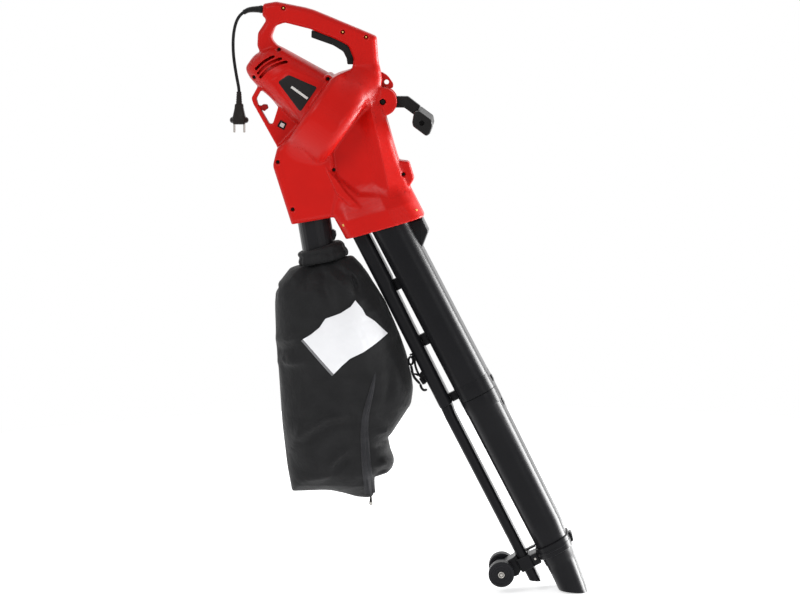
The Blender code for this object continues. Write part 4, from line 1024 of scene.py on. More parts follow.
    def _loop(self) -> Array:
        """The lever's guard loop with its window and the lever's hub seat."""
        block = self.block
        loop = block.plate(block.outline(LOOP), 9.5, 3.0)
        window = block.outline(LOOP_WINDOW, 0.8)
        loop = soft_max(loop, -window[:, None, :], 2.5)
        return np.minimum(loop, block.plate(block.rod(*self.size.lever, 3.9), 8.0, 1.0))

    def _intake(self) -> Array:
        """The duct to the fan: a bowl beside the drum, a lip round its foot and a ridge at its right.

        Its half width starts from a smooth step down the duct. The bowl lowers it, the lip and a bell
        shaped bead raise it, and right of the ridge it falls in proportion to the way from there.

        Returns:
            The duct's field.
        """
        block, size = self.block, self.size
        x, z = block.side_x, block.side_z
        half = 15.5 + 26.5 * ease(-z, 96.0, 200.0)
        bowl = np.minimum(ease(-block.outline(DISH_FALL), 0.0, 32.0),
                          ease(-block.outline(DISH), -0.5, 11.0))
        lip = ease(-block.outline(DISH_LIP), -1.5, 3.5) * ease(z, -363.0, -335.0)
        edge = np.interp(z, RIDGE[::-1, 1], RIDGE[::-1, 0])
        right = (x - edge) * 0.97
        bowl = bowl * (1.0 - 0.4 * ease(x, 70.0, 135.0))
        steep = np.interp(-z, (135, 150, 190, 320, 370), (0.0, 0.6, 0.62, 0.58, 0.3))
        bead = 1.7 * np.exp(-(right / 2.3) ** 2) * ease(z, -315.0, -190.0) * ease(-z, 138.0, 150.0)
        half = half - size.bowl * bowl + size.lip * lip + bead
        half = half - steep * np.maximum(right - 1.5, 0.0)
        return block.plate(block.outline(INTAKE), np.maximum(half, 17.0), 8.0)

    def _collar(self) -> Array:
        """The collar round both tubes: a rounded box that narrows towards the drum."""
        block, end = self.block, self.size.collar_end
        s, n = TUBES.place(block.side_x, block.side_z)
        s = s - 0.2 * (n + 140.0)
        pull = np.interp(s, (300, 322, 340, 356, end), (16, 9, 3, 1, 0))
        half_y = np.interp(s, (296, 306, 322, 340, 356, end), (26, 32, 41.5, 50, 55.0, 58))
        half_y = half_y - 1.2 * np.exp(-((n + 70.0) / 26.0) ** 2) - 0.22 * np.maximum(n + 44.0, 0.0)
        sides = (np.abs(n + 65.0) - (75.0 - pull))[:, None, :]
        field = round_max(sides, np.abs(block.y) - half_y[:, None, :], 22.0)
        return soft_max(field, np.maximum(s - end, 298.0 - s)[:, None, :], 1.5)

    def cuts(self, body: Array, near: bool) -> Array:
        """Takes the sockets, slots, vents and recesses out of the shell.

        Args:
            body: The shell's field.
            near: Whether this is the near half, which has the screws, or the far one with the tab.

        Returns:
            The field with its openings.
        """
        block, size = self.block, self.size
        away = np.abs(block.y)
        s, n = TUBES.place(block.side_x, block.side_z)
        for middle, half_n, half_y, radius in self.TUBE_SOCKETS:
            tunnel = round_max((np.abs(n - middle) - half_n)[:, None, :], away - half_y, radius)
            body = cut(body, np.maximum(tunnel, (size.socket_floor - s)[:, None, :]))
        t, r = SPOUT.place(block.side_x, block.side_z)
        socket = np.maximum(np.hypot(r[:, None, :], block.y) - 32.3, (-18.3 - t)[:, None, :])
        x, z, _ = size.boss
        arm_slot = np.maximum(block.rod(x, z, 34.0)[:, None, :], away - 8.3)
        bolt_hole = block.rod(x, z, 4.3)[:, None, :]
        bolt_head = np.maximum(block.rod(x, z, 5.7)[:, None, :], 18.0 - away)
        finger = np.maximum(block.outline(TRIGGER_SLOT)[:, None, :], away - 8.0)
        hub = np.maximum(block.rod(*size.lever, 5.5)[:, None, :], away - 5.8)
        sleeve = np.maximum(np.hypot(block.z - 22.5, block.y) - 6.9,
                            np.maximum(block.x + 86.0, -110.0 - block.x))
        body = cut(body, socket, arm_slot, bolt_hole, bolt_head, finger, hub, sleeve, *self._vents())
        if near:
            return self._recesses(body)
        tab = block.outline(HANGING_TAB, -0.3)[:, None, :]
        return cut(body, np.maximum(tab, 10.2 - block.y))

    def _vents(self) -> list[Array]:
        """The curved vents: each is the distance to an arc, less half its width."""
        block, size = self.block, self.size
        right, up = block.side_x - size.vent_centre[0], block.side_z - size.vent_centre[1]
        away, angle = np.hypot(right, up), np.degrees(np.arctan2(up, right))
        vents = []
        for radius, first, last in self.VENTS:
            turn = np.maximum(np.maximum(angle - last, first - angle), 0.0)
            reach = np.hypot(away - radius, np.radians(turn) * away) - size.vent_half
            vents.append(reach[:, None, :])
        return vents

    def _recesses(self, body: Array) -> Array:
        """Cuts round pockets for the screws, each with a wall and a floor behind it."""
        for x, z in self.SCREWS:
            rod = self.block.rod(x, z, self.size.screw)[:, None, :]
            depth = self.block.y - self.face(x, z)
            body = np.minimum(body, np.maximum(np.maximum(rod - 2.2, self.outside), -depth - 7.5))
            body = cut(body, np.maximum(rod, -depth - 5.0))
        return body

    def face(self, x: Array, z: Array) -> Array:
        """How far the outside stands from the parting plane at points of the side view.

        In each column across the housing it is the last change of sign, at share a / (a - b) between the
        values a and b.

        Args:
            x: Places to the right.
            z: Heights.

        Returns:
            Distances, in the shape of x and z.
        """
        block = self.block
        x, z = np.broadcast_arrays(np.asarray(x, float), np.asarray(z, float))
        column = between(np.moveaxis(self.outside, 1, 2), (x - block.low[0]) / block.step,
                         (z - block.low[2]) / block.step)
        last = column.shape[-1] - 1 - np.argmax((column < 0.0)[..., ::-1], -1)
        last = np.clip(last, 0, column.shape[-1] - 2)
        at = np.take_along_axis(column, last[..., None], -1)[..., 0]
        to = np.take_along_axis(column, last[..., None] + 1, -1)[..., 0]
        return block.low[1] + block.step * (last + at / (at - to))

    def decal(self, corners: Sequence[tuple], lift: float = 0.3, rings: int = 14) -> Surface:
        """A thin film on the near face: copies of its outline that shrink to its middle.

        Args:
            corners: Its (x, z, radius) corners in the side view.
            lift: How far it stands off the face.
            rings: Copies on its front.

        Returns:
            The film.
        """
        outline = even(rounded(corners), 96)
        middle = outline.mean(0)
        front = [(share, lift) for share in np.linspace(0.99, 0.02, rings)]
        rows = []
        for share, height in [(1.0, -0.4), (1.0, lift * 0.6), *front]:
            x, z = (middle + (outline - middle) * share).T
            rows.append(np.stack([x, -self.face(x, z) - height, z], -1))
        return Surface.loft(np.array(rows)[::-1])

    def screws(self) -> Surface:
        """Sunk screws with a socket in each head."""
        profile = rim([(4.2, 0.05, 0.2), (4.3, 1.2, 0.2), (3.1, 1.5, 0.2), (3.0, 2.9, 0.6), (4.9, 3.2, 0.3),
                       (4.9, 0.05, 0.2)])
        return merged([turned(profile - (float(self.face(x, z)), 0.0), cross_axis(x, z), 20)
                       for x, z in self.SCREWS])

    def brass(self) -> Surface:
        """Small domed screws: two in the collar and three inside the grip's pockets."""
        heads = []
        for x, z, radius, depth in self.BRASS:
            top = float(self.face(x, z)) - depth
            profile = stud(-top - 0.9, -top + 2.4, (-top + 2.4, radius, 0.1), (-top - 0.4, radius, 0.5))
            heads.append(turned(profile, cross_axis(x, z), 20))
        return merged(heads)

    def make(self) -> None:
        """Builds both halves, their screws and the films on them."""
        block = self.block
        outer = self.outer()
        slope = np.sqrt(sum(g ** 2 for g in np.gradient(outer, block.step)))
        self.outside = outer / np.clip(slope, 0.6, 3.0)
        shell = np.maximum(self.outside, -(self.outside + WALL))
        near, far = (np.maximum(self.cuts(shell, side), HALF_GAP - block.y) for side in (True, False))
        block.skin(near).mirrored().piece("housing_shell_near", RED_ABS, Body.HOUSING, [
            "housing_near", "motor_cover_near", "bag_duct_near", "tube_collar_near"])
        block.skin(far).piece("housing_shell_far", RED_ABS, Body.HOUSING, [
            "housing_far", "motor_cover_far", "bag_duct_far", "tube_collar_far"])
        self.screws().piece("housing_screws", DARK_STEEL, Body.HOUSING)
        self.decal(PANEL).piece("type_plate_bare", LABEL_FILM, Body.HOUSING)
        self.decal(PANEL_BAR, 0.55, 6).piece("type_plate_bar", PALE_FILM, Body.HOUSING)
        self.decal(PICTOGRAM, 1.0, 5).piece("lever_plate", BLACK_PP, Body.HOUSING)
        middle_x, middle_z = PICTOGRAM_MIDDLE
        inset = [(x * 0.55 + 0.45 * middle_x, z * 0.55 + 0.45 * middle_z, 0.5) for x, z, _ in PICTOGRAM]
        self.decal(inset, 1.4, 4).piece("lever_plate_field", PALE_FILM, Body.HOUSING)
        sleeve = rim([(-114, 38.6, 0.3), (-150, 33, 2), (-165, 25, 3), (-172, 14, 3), (-173, 0.6, 0.2),
                      (-171.8, 0.6, 0.2), (-170.8, 13.2, 3), (-164, 24, 3), (-149.4, 31.8, 2),
                      (-114, 37.4, 0.3)])
        turned(sleeve, FAN.point, 64).piece("motor_end_sleeve", RED_ABS, Body.HOUSING)
        self.brass().piece("housing_brass_screws", BRASS, Body.HOUSING)


# Tubes


def tube_ring(s: float, low: float, high: float, half_y: float, radius: float, slope: float = 0.0) -> Array:
    """One rounded-box ring across the tubes, which falls by the slope for each step to the right."""
    half = (high - low) / 2.0
    ring = rounded_box(half, half_y, radius)
    return TUBES.point(s + slope * (ring[:, 0] + half), (low + high) / 2.0 + ring[:, 0], ring[:, 1])


def tube_shell(sections: Sequence[tuple], wall: float) -> Surface:
    """A tube with both ends open: outside rings down, inside rings back up.

    Args:
        sections: (s, low, high, half depth, corner radius, slope) down the tube.
        wall: Wall thickness.

    Returns:
        The closed surface with rounded rims.
    """
    def inner(section: tuple, pull: float, shift: float = 0.0) -> Array:
        """A section's ring, pulled inwards and shifted down the tube."""
        s, low, high, half_y, radius, slope = section
        return tube_ring(s + shift, low + pull, high - pull, half_y - pull, max(radius - pull, 1.0), slope)

    first, last = sections[0], sections[-1]
    edge = 0.35 * wall
    rings = [inner(first, edge), inner(first, 0.1, edge * 0.6), inner(first, 0.0, edge * 1.5)]
    rings += [inner(section, 0.0) for section in sections[1:-1]]
    rings += [inner(last, 0.0, -edge * 1.5), inner(last, 0.1, -edge * 0.6), inner(last, edge)]
    rings += [inner(last, wall - edge), inner(last, wall - 0.1, -edge * 0.6)]
    rings += [inner(section, wall) for section in sections[-2:0:-1]]
    rings += [inner(first, wall - 0.1, edge * 0.6), inner(first, wall - edge)]
    return Surface.loft(np.array(rings), closed=True)


class Tubes:
    """The wide suction tube and the narrow blow tube, each in two lengths."""

    SUCTION = (-91.2, -19.2, 52.0, 29.0)
    BLOW_LEFT = -129.0
    JOINT = 775.0
    WEBS = ((516.5, 11.5), (636.0, 12.0), (760.0, 9.0))
    KNOB = [(474, -26, 3), (474, -19, 6), (452, 5.8, 4), (422.6, 6.6, 3), (415.5, -26, 3)]
    CATCH = [(755, -22, 1), (755, -15.4, 2), (768, -15.4, 2), (768, -22, 1)]
    TONGUE = [(777, -24, 1), (777, -17.4, 2), (816, -18.0, 4), (827, -22.5, 1), (827, -26, 1)]
    BLOW_LUG = [(686, -128.0, 1.5), (693, -141, 2.5), (707, -141, 2.5), (716, -128.0, 1.5)]

    def web(self, s: float, reach: float) -> Surface:
        """A web between the tubes, reach up and down from s, whose left edge leans with the narrow tube."""
        low = self.SUCTION[0] + 1
        upper, lower = (-100.7 - 5.4 * (s + side * reach - 430.0) / 338.0 for side in (-1, 1))
        return self.slab([(s - reach, low, 1.5), (s - reach, upper, 1.5), (s + reach, lower, 1.5),
                          (s + reach, low, 1.5)], 6.0, 1.5)

    def suction(self) -> None:
        """Both lengths of the suction tube with their webs, latch block and coupling."""
        low, high, half, radius = self.SUCTION

        def section(s: float, left: float = 0.0, right: float = 0.0, wide: float = 0.0) -> tuple:
            """A section whose edges and half width are moved from those of the plain tube."""
            return s, low + left, high + right, half + wide, radius, 0.0

        upper = tube_shell([section(378), section(480), section(630), section(774.7, right=0.5)], 2.6)
        sleeve = tube_shell([section(744, -0.3, 0.8, 0.5), section(774.6, -0.3, 1.2, 0.5)], 2.4)
        webs = [self.web(s, reach) for s, reach in self.WEBS]
        upper.joined(sleeve, *webs, self.slab(self.KNOB, 24.0, 5.0), self.slab(self.CATCH, 8.0, 1.8)).piece(
            "suction_tube_top_length", BLACK_PP, Body.HOUSING, ["suction_tube_upper"])
        sections = [section(self.JOINT, -0.4, 0.8, 0.6), section(802.0, -0.4, 0.4, 0.6),
                    section(804.0, right=-1.0), (930, low, -22.4, 51.0, radius, 0.0),
                    (1060, low, -24.5, 50, radius, 0.0), (1133.5, low, -31.2, 48.6, 27, 0.0),
                    (1136.5, low + 1.2, -32.8, 47.2, 26, 0.0), (1150, low + 1.2, -34.2, 46.8, 26, 0.0),
                    (1176, low + 1.0, -39.6, 46.4, 24, 0.3), (1187.5, low + 0.6, -43.2, 45.8, 23, 0.62)]
        tube_shell(sections, 2.6).joined(self.slab(self.TONGUE, 9.0, 1.5)).piece(
            "suction_tube_end_length", BLACK_PP, Body.HOUSING, ["suction_tube_lower"])

    @staticmethod
    def slab(corners: Sequence[tuple], half_y: float, edge: float) -> Surface:
        """A block across Y with rounded rims.

        Args:
            corners: Its (s, n, radius) corners, in either order round it.
            half_y: Half its width.
            edge: Radius of its rims.

        Returns:
            The block.
        """
        spots = [(*TUBES.point(s, n)[[0, 2]], radius) for s, n, radius in corners]
        area = sum(a[0] * b[1] - b[0] * a[1] for a, b in zip(spots, spots[1:] + spots[:1]))
        return rim_plate(spots if area > 0 else spots[::-1], half_y, edge)

    def blow(self) -> None:
        """Both lengths of the blow tube, which drifts away from the wide one."""
        def section(s: float, drift: float, depth: float, half: float, radius: float,
                    slope: float = 0.0) -> tuple:
            """A section whose left edge stands drift further left."""
            left = self.BLOW_LEFT - drift
            return s, left, left + depth, half, radius, slope

        upper = [section(378, 0, 31, 30, 11), section(500, 0.4, 31, 30, 11), section(517, 0.6, 28, 30, 11),
                 section(600, 1.7, 27, 29, 11), section(768, 3.4, 26, 28, 11)]
        tube_shell(upper, 2.4).joined(self.slab(self.BLOW_LUG, 4.0, 1.2)).piece(
            "blow_tube_top_length", BLACK_PP, Body.HOUSING, ["blow_tube_upper"])
        lower = [section(768.3, 2.6, 22.5, 26, 10), section(790, 3.6, 21, 25.5, 9),
                 section(960, 4.1, 20.5, 25.2, 9), section(1130, 4.6, 20, 25, 9),
                 section(1147, 4.6, 19, 24.5, 8.5, 0.62)]
        tube_shell(lower, 2.2).piece("blow_tube_end_length", BLACK_PP, Body.HOUSING, ["blow_tube_lower"])

    def make(self) -> None:
        """Builds both tubes."""
        self.suction()
        self.blow()


def rim_plate(corners: Sequence[tuple], half_y: float, edge: float, steps: int = 4) -> Surface:
    """A plate across Y whose rims are quarter circles: at angle t, edge sin t out and edge (1 - cos t) in.

    Args:
        corners: Its (x, z, radius) corners in the side view.
        half_y: Half its thickness.
        edge: Radius of its rims.
        steps: Facets in each rim.

    Returns:
        The plate.
    """
    rows = []
    for k in range(steps + 1):
        angle = math.radians(90.0) * (1.0 - k / steps)
        rows.append((half_y - edge + edge * math.sin(angle), edge * (1.0 - math.cos(angle))))
    rows = [(-y, inset) for y, inset in rows] + [(y, inset) for y, inset in reversed(rows)]
    rings = []
    for y, inset in rows:
        points = rounded(corners, inset)
        rings.append(np.stack([points[:, 0], np.full(len(points), y), points[:, 1]], -1))
    return Surface.loft(np.array(rings)[::-1])


# Cord


def smooth_route(knots: Array, spacing: float) -> Array:
    """A smooth curve through side-view knots, a point about every spacing along it.

    Between two knots b and c, with a before and d after, a point at t is half of
    2b + (c - a)t + (2a - 5b + 4c - d)t^2 + (3b - a - 3c + d)t^3.

    Args:
        knots: (x, z) rows in millimetres.
        spacing: Distance between points.

    Returns:
        Points with y = 0 as three columns.
    """
    ahead = np.concatenate([[knots[0] * 2.0 - knots[1]], knots, [knots[-1] * 2.0 - knots[-2]]])
    parts = []
    for a, b, c, d in zip(ahead, ahead[1:], ahead[2:], ahead[3:]):
        steps = max(1, round(float(np.hypot(*(c - b))) / spacing))
        t = (np.arange(steps) / steps)[:, None]
        parts.append((b * 2 + (c - a) * t + (a * 2 - b * 5 + c * 4 - d) * t ** 2
                      + (b * 3 - a - c * 3 + d) * t ** 3) * 0.5)
    flat = np.concatenate([*parts, knots[-1:]])
    return np.stack([flat[:, 0], np.zeros(len(flat)), flat[:, 1]], -1)


def hose(path: Array, radius: Array, count: int = 20) -> Surface:
    """A round bar along a side-view path: each ring is its centre plus the radius times a unit circle.

    Args:
        path: Centre points.
        radius: One radius per point.
        count: Points round the bar.

    Returns:
        The surface, with both ends closed.
    """
    way = np.gradient(path, axis=0)
    way = way / np.linalg.norm(way, axis=1, keepdims=True)
    side = np.stack([way[:, 2], np.zeros(len(way)), -way[:, 0]], -1)
    angle = 2.0 * math.pi * np.arange(count) / count
    circle = np.cos(angle)[:, None] * side[:, None] + np.sin(angle)[:, None] * np.array([0.0, 1.0, 0.0])
    return Surface.loft(path[:, None] + radius[:, None, None] * circle)


@dataclass(frozen=True)
class MainsCord:
    """The short lead: strain relief, cord, plug and its two pins.

    Args:
        radius: Radius of the cord.
        spacing: Distance between the route's points; not used.
        plug_x: Place of the plug across the side view.
        pin_away: Distance of each pin from the plug's middle.
        pin_radius: Radius of a pin.
        pin_root: Height at which the pins begin, inside the plug.
        pin_length: Length of a pin from there.
    """

    radius: float = 3.0
    spacing: float = 7.0
    plug_x: float = -150.0
    pin_away: float = 9.5
    pin_radius: float = 2.05
    pin_root: float = -190.0
    pin_length: float = 22.5

    ROUTE = np.array([(-140.3, 16.4), (-144.8, 12.9), (-150, 6.6), (-154.2, -2), (-157.4, -13), (-159.8, -28),
                      (-160.6, -46), (-159.8, -66), (-157.4, -86), (-154.2, -106), (-151.3, -122),
                      (-150.1, -131), (-150, -137.3)], float)
    RELIEF = np.array([(-88, 22.5), (-103, 22.5), (-108, 22.5), (-116, 22.45), (-124, 22.0), (-131.6, 20.6),
                       (-140.6, 16.1)], float)
    RELIEF_RADIUS = np.array([(-88, 6.4), (-103.4, 6.4), (-104.4, 7.4), (-107.6, 7.6), (-109.2, 6.9),
                              (-124, 5.9), (-139.2, 4.7), (-140.6, 4.1)], float)
    PLUG_SIDE = both_sides([(-4.7, -133.6, 1.5), (-6.1, -157, 1), (-8.0, -158.6, 1.5), (-8.6, -166, 10),
                            (-12.2, -183, 4), (-11.4, -196.6, 2.5)])

    def strain_relief(self) -> Surface:
        """The ribbed sleeve: a tapering bar whose radius falls by squared sines 4.4 mm apart."""
        path = smooth_route(self.RELIEF, 0.7)
        table = self.RELIEF_RADIUS[::-1]
        radius = np.interp(path[:, 0], table[:, 0], table[:, 1])
        x = path[:, 0]
        ribs = 0.55 * np.sin((x + 111.0) * 2.0 * math.pi / 4.4) ** 2 * ease(-x, 110.5, 112.0)
        return hose(path, radius - ribs * ease(x, -139.0, -135.0), 28)

    def plug(self) -> Surface:
        """The moulded plug: a tapering body with a ribbed neck, finger wings and a sunk grip on each face."""
        block = Block((-171, -15, -200), (-129, 15, -130), 0.9)
        side = block.polygon(rounded([(self.plug_x + x, z, r) for x, z, r in self.PLUG_SIDE]))
        z = block.side_z
        half = np.interp(-z, (134, 157, 159, 180, 197), (4.7, 6.1, 7.4, 10.6, 11.6))
        neck = 0.6 * np.sin((z + 140.0) * math.pi / 4.5) ** 2 * (z > -157.0)
        body = block.plate(side + neck, half - neck, 3.8)
        wing = np.hypot(np.hypot(np.abs(block.x - self.plug_x) - 13.0, (block.z + 188.6) * 0.86),
                        block.y * 0.62) - 5.1
        grip = np.hypot((block.x - self.plug_x) / 6.5, (block.z + 174.0) / 9.0)
        body = soft_min(body, wing, 2.2) + 0.9 * np.exp(-grip ** 4) * ease(np.abs(block.y), 4.0, 7.0)
        return block.skin(body)

    def pins(self) -> Surface:
        """Two round pins with domed ends."""
        end, radius = self.pin_length, self.pin_radius
        profile = stud(0.0, end, (end, radius, 1.5), (0.0, radius, 0.1), steps=6)
        return merged([turned(profile, SideFrame(self.plug_x + side, self.pin_root, 0.0).point, 24)
                       for side in (-self.pin_away, self.pin_away)])

    def make(self) -> None:
        fine = smooth_route(self.ROUTE, 2.0)
        cord = hose(fine, np.full(len(fine), self.radius)).piece(
            "mains_cord_lead", LEAD_PVC, Body.HOUSING, ["mains_cord"])
        plug = self.plug().piece("mains_plug_body", PLUG_PVC, Body.HOUSING, ["plug_body"])
        pins = self.pins().piece("mains_plug_pins", STEEL, Body.HOUSING, ["plug_pin_left", "plug_pin_right"])
        self.strain_relief().piece("cord_strain_relief", SOFT_BLACK, Body.HOUSING, ["strain_relief"])


# Handle parts that move


@dataclass(frozen=True)
class Controls:
    """Trigger, selector lever and the swinging handle.

    Args:
        trigger_half: Half width of the trigger.
        lever_place: The lever's turning axis in the side view.
        arm_half: Half width of the swinging arm.
        arm_reach: Half width of the grip's pocket for it.
        grip_half: Half length of the cross grip.
        hole: Place of the hole in the grip's ends.
    """

    trigger_half: float = 7.4
    lever_place: tuple = LEVER_AXIS
    arm_half: float = 7.9
    arm_reach: float = 8.3
    grip_half: float = 58.0
    hole: tuple = (201.0, -188.5)

    TRIGGER = [(-10.6, -17, 1.5), (-11.2, -30.6, 2.5), (31, -45.5, 14), (49.5, -57, 10), (56, -70, 6),
               (57.6, -81.5, 2.5), (70.6, -81.5, 3), (71, -62, 6), (54, -38, 8), (34, -27, 8)]
    LEVER = [(-109, -161.5, 1), (-107.5, -168.6, 1), (-101, -171.2, 1.8), (-93.5, -165.5, 2.2),
             (-95.5, -158.5, 2.2), (-103, -157.8, 1.5)]
    ARM = [(112, -152, 13), (125, -172, 15), (142, -163.6, 9), (166, -163.6, 8), (184.5, -177.5, 3),
           (198, -161, 3), (173, -141.8, 8), (142, -141.8, 9), (125, -132, 15)]
    GRIP = [(182.4, -187, 6), (184, -195, 5), (209.2, -213.8, 5), (216.4, -209, 5), (221.8, -195, 6),
            (219.6, -182.5, 6), (196.5, -165.6, 5), (186, -166.5, 6)]
    POCKET = [(150, -150), (166, -164.1), (184.3, -178.4), (198.9, -161.2), (176, -141)]
    BOLT = both_sides([(21, 4.4, 1.2), (18.4, 5.2, 0.5), (18.2, 3.9, 0.2)])

    def arm(self) -> Surface:
        """The cranked arm with soft rims, a sunk web on each side and a round pivot eye."""
        block = Block((108, -11, -184), (203, 11, -126), 1.1)
        side = block.outline(self.ARM)
        body = block.plate(side, self.arm_half, 2.6)
        web = -1.1 * ease(-block.outline(self.ARM, 5.5), -0.6, 0.9)
        web = web * ease(block.side_x, 141.0, 144.0) * ease(-block.side_x, -186.0, -182.0)
        body = body - web[:, None, :] * ease(np.abs(block.y), 3.0, 5.0)
        return block.skin(cut(body, block.rod(*AUX_AXIS, 4.3)[:, None, :]))

    def grip(self) -> Surface:
        """The cross grip: barrelled along Y, with cosine ribs 7 mm apart and a blind hole in each end."""
        block = Block((178, -62, -218), (226, 62, -161), 1.5)
        side = block.outline(self.GRIP)
        away = np.abs(block.y)
        waist = 1.7 * (1.0 - ease(away, 36.0, 50.0)) + 0.9 * ease(away, 54.0, 58.0)
        ribs = 0.35 * np.cos(block.y * 2.0 * math.pi / 7.0) * (1.0 - ease(away, 34.0, 42.0))
        body = round_max(side[:, None, :] + waist - ribs, away - self.grip_half, 3.0)
        dish = 0.9 * ease(-block.outline(self.GRIP, 5.0), -0.8, 0.8)
        body = body + dish[:, None, :] * (away > 50.0)
        hole = np.maximum(block.rod(*self.hole, 4.8)[:, None, :], 47.0 - away)
        pocket = np.maximum(block.polygon(self.POCKET)[:, None, :], away - self.arm_reach)
        return block.skin(cut(body, hole, pocket))

    def make(self) -> None:
        """Builds the trigger, the lever, the swinging handle and its bolt."""
        rim_plate(self.TRIGGER, self.trigger_half, 2.6, steps=5).piece(
            "trigger_moulding", SOFT_BLACK, Body.TRIGGER, ["trigger"])
        axis = cross_axis(*self.lever_place)
        hub = rim([(-5.5, 1.9, 0.2), (5.5, 1.9, 0.2), (5.5, 4.9, 1.0), (-5.5, 4.9, 1.0)])
        pin = stud(-6.9, 6.9, (6.9, 1.9, 0.6), (-6.9, 1.9, 0.6))
        lever = turned(hub, axis, 32).joined(turned(pin, axis, 20), rim_plate(self.LEVER, 5.2, 1.6))
        # The lever's red is darkened as painted shade.
        lever.piece("selector_lever_moulding", SHADED_RED_ABS, Body.LEVER, ["selector_lever"])
        self.arm().piece("aux_arm_moulding", SOFT_BLACK, Body.AUX_HANDLE, ["aux_handle_arm"])
        self.grip().piece("aux_grip_moulding", SOFT_BLACK, Body.AUX_HANDLE, ["aux_handle_grip"])
        turned(stud(-21, 21, *self.BOLT), cross_axis(*AUX_AXIS), 32).piece(
            "aux_bolt_turned", DARK_STEEL, Body.HOUSING, ["aux_pivot_bolt"])


# Wheels


@dataclass(frozen=True)
class WheelSet:
    """Two wheels, the bracket that carries them and the clamp round the tube.

    Args:
        axle: The axle's place in the side view.
        away: How far each wheel's middle stands from Y = 0.
        cap_away: How far a cap's face stands from there.
    """

    axle: tuple = (355.0, -1062.0)
    away: float = 37.5
    cap_away: float = 50.0

    WHEEL = both_sides([
        (12.4, 3.4, 0.2), (12.4, 6.9, 0.7), (9.8, 7.7, 0.8), (9.8, 12.0, 0.5), (10.5, 12.6, 0.3),
        (10.5, 13.8, 0.3), (9.8, 14.4, 0.5), (10.0, 18.0, 0.8), (12.0, 19.4, 0.8), (12.0, 22.6, 1.0),
        (10.6, 25.0, 1.6), (5.0, 25.0, 0.2), (4.6, 24.1, 0.2), (3.2, 24.1, 0.2), (2.8, 25.0, 0.2)])
    CAP = [(-0.4, 4.2, 0.2), (2.6, 4.2, 0.4), (3.2, 5.2, 0.5), (2.0, 6.4, 0.6), (-0.4, 6.5, 0.2)]
    ARM = [(345, -1069, 7), (362, -1074, 6), (376, -1069.5, 3), (380, -1072.5, 2), (389, -1069, 3),
           (400.5, -1040, 3), (398, -1022, 4), (384, -1027, 4), (378, -1034, 3), (366, -1041, 8),
           (347, -1051, 8)]
    SCREW = (1113.0, -103.5)

    def wheel(self, side: float) -> Surface:
        """One wheel: tyre with two grooves, a dished face with a ring and a hub."""
        return turned(rim(self.WHEEL) + (side * self.away, 0.0), cross_axis(*self.axle), 72)

    def cap(self, side: float) -> Surface:
        """The pressed cap and the axle's tip in it: side is -1 for the near end and 1 for the far one."""
        found = []
        for part in (rim(self.CAP), stud(-1.0, 3.6, (3.6, 2.0, 0.9), (-1.0, 2.3, 0.1))):
            profile = np.stack([side * (self.cap_away + part[:, 0]), part[:, 1]], -1)
            found.append(turned(profile if side > 0 else profile[::-1], cross_axis(*self.axle), 36))
        return merged(found)

    def bracket(self) -> Surface:
        """The moulded bracket: a sleeve round the blow tube, a ledge and the wheel arm."""
        block = Block((336, -33, -1082), (442, 33, -1000), 1.4)
        s, n = TUBES.place(block.side_x, block.side_z)

        def box(n_low: float, n_high: float, s_low: float, s_high: float, half: float,
                radius: float) -> Array:
            """A rounded block in the tubes' frame: the length of what passes its three pairs of faces."""
            a = (np.maximum(n_low - n, n - n_high) + radius)[:, None, :]
            b = np.abs(block.y) - half + radius
            c = (np.maximum(s_low - s, s - s_high) + radius)[:, None, :]
            inside = np.minimum(np.maximum(np.maximum(a, b), c), 0.0)
            out = np.sqrt(np.maximum(a, 0) ** 2 + np.maximum(b, 0) ** 2 + np.maximum(c, 0) ** 2)
            return inside + out - radius

        sleeve = box(-138.0, -110.5, 1098.0, 1126.0, 29.0, 3.0)
        ledge = box(-115.0, -93.6, 1091.5, 1095.5, 7.0, 1.2)
        lower = box(-112.0, -95.4, 1103.0, 1126.0, 24.0, 2.5)
        arm = block.plate(block.outline(self.ARM), 22.0, 3.0)
        body = soft_min(soft_min(sleeve, lower, 2.0), np.minimum(ledge, arm), 2.0)
        way = np.maximum(np.maximum(-134.2 - n, n + 113.0)[:, None, :], np.abs(block.y) - 25.8)
        return block.skin(cut(body, way, block.rod(*self.axle, 3.3)[:, None, :]))

    def clamp(self) -> Surface:
        """The band round the wide tube, with a raised rib and a closing hook at its right."""
        band = tube_shell([(1096, -95, -24.6, 53.5, 31, 0), (1119, -95, -26.2, 53.5, 31, 0)], 3.3)
        hook = [(1098.5, -27, 1), (1098.5, -19.6, 2), (1104, -18.8, 2), (1117, -22.0, 1), (1117, -28, 1)]
        rib = tube_shell([(1105, -96, -24.6, 54.4, 31.5, 0), (1110, -96, -25.0, 54.4, 31.5, 0)], 3.0)
        return band.joined(rib, Tubes.slab(hook, 12.0, 1.6))

    def make(self) -> None:
        """Builds the wheels and what carries them."""
        sides = (("near", -1.0, Body.WHEEL_NEAR), ("far", 1.0, Body.WHEEL_FAR))
        for name, side, body in sides:
            self.wheel(side).piece(f"wheel_{name}_moulding", TYRE_BLACK, body, [f"wheel_{name}"])
        for name, side, _ in sides:
            self.cap(side).piece(f"axle_cap_{name}", STEEL, Body.HOUSING, [f"hub_cap_{name}"])
        self.bracket().piece("wheel_bracket_moulding", BLACK_PP, Body.HOUSING, ["wheel_bracket"])
        self.clamp().piece("tube_clamp_band", BLACK_PP, Body.HOUSING, ["tube_clamp"])
        axis = cross_axis(*TUBES.point(*self.SCREW)[[0, 2]])
        head = stud(-25.2, -22.0, (-22.0, 2.3, 0.1), (-24.6, 2.3, 0.7))
        turned(head, axis, 20).piece("bracket_screw", STEEL, Body.HOUSING)


# Bag


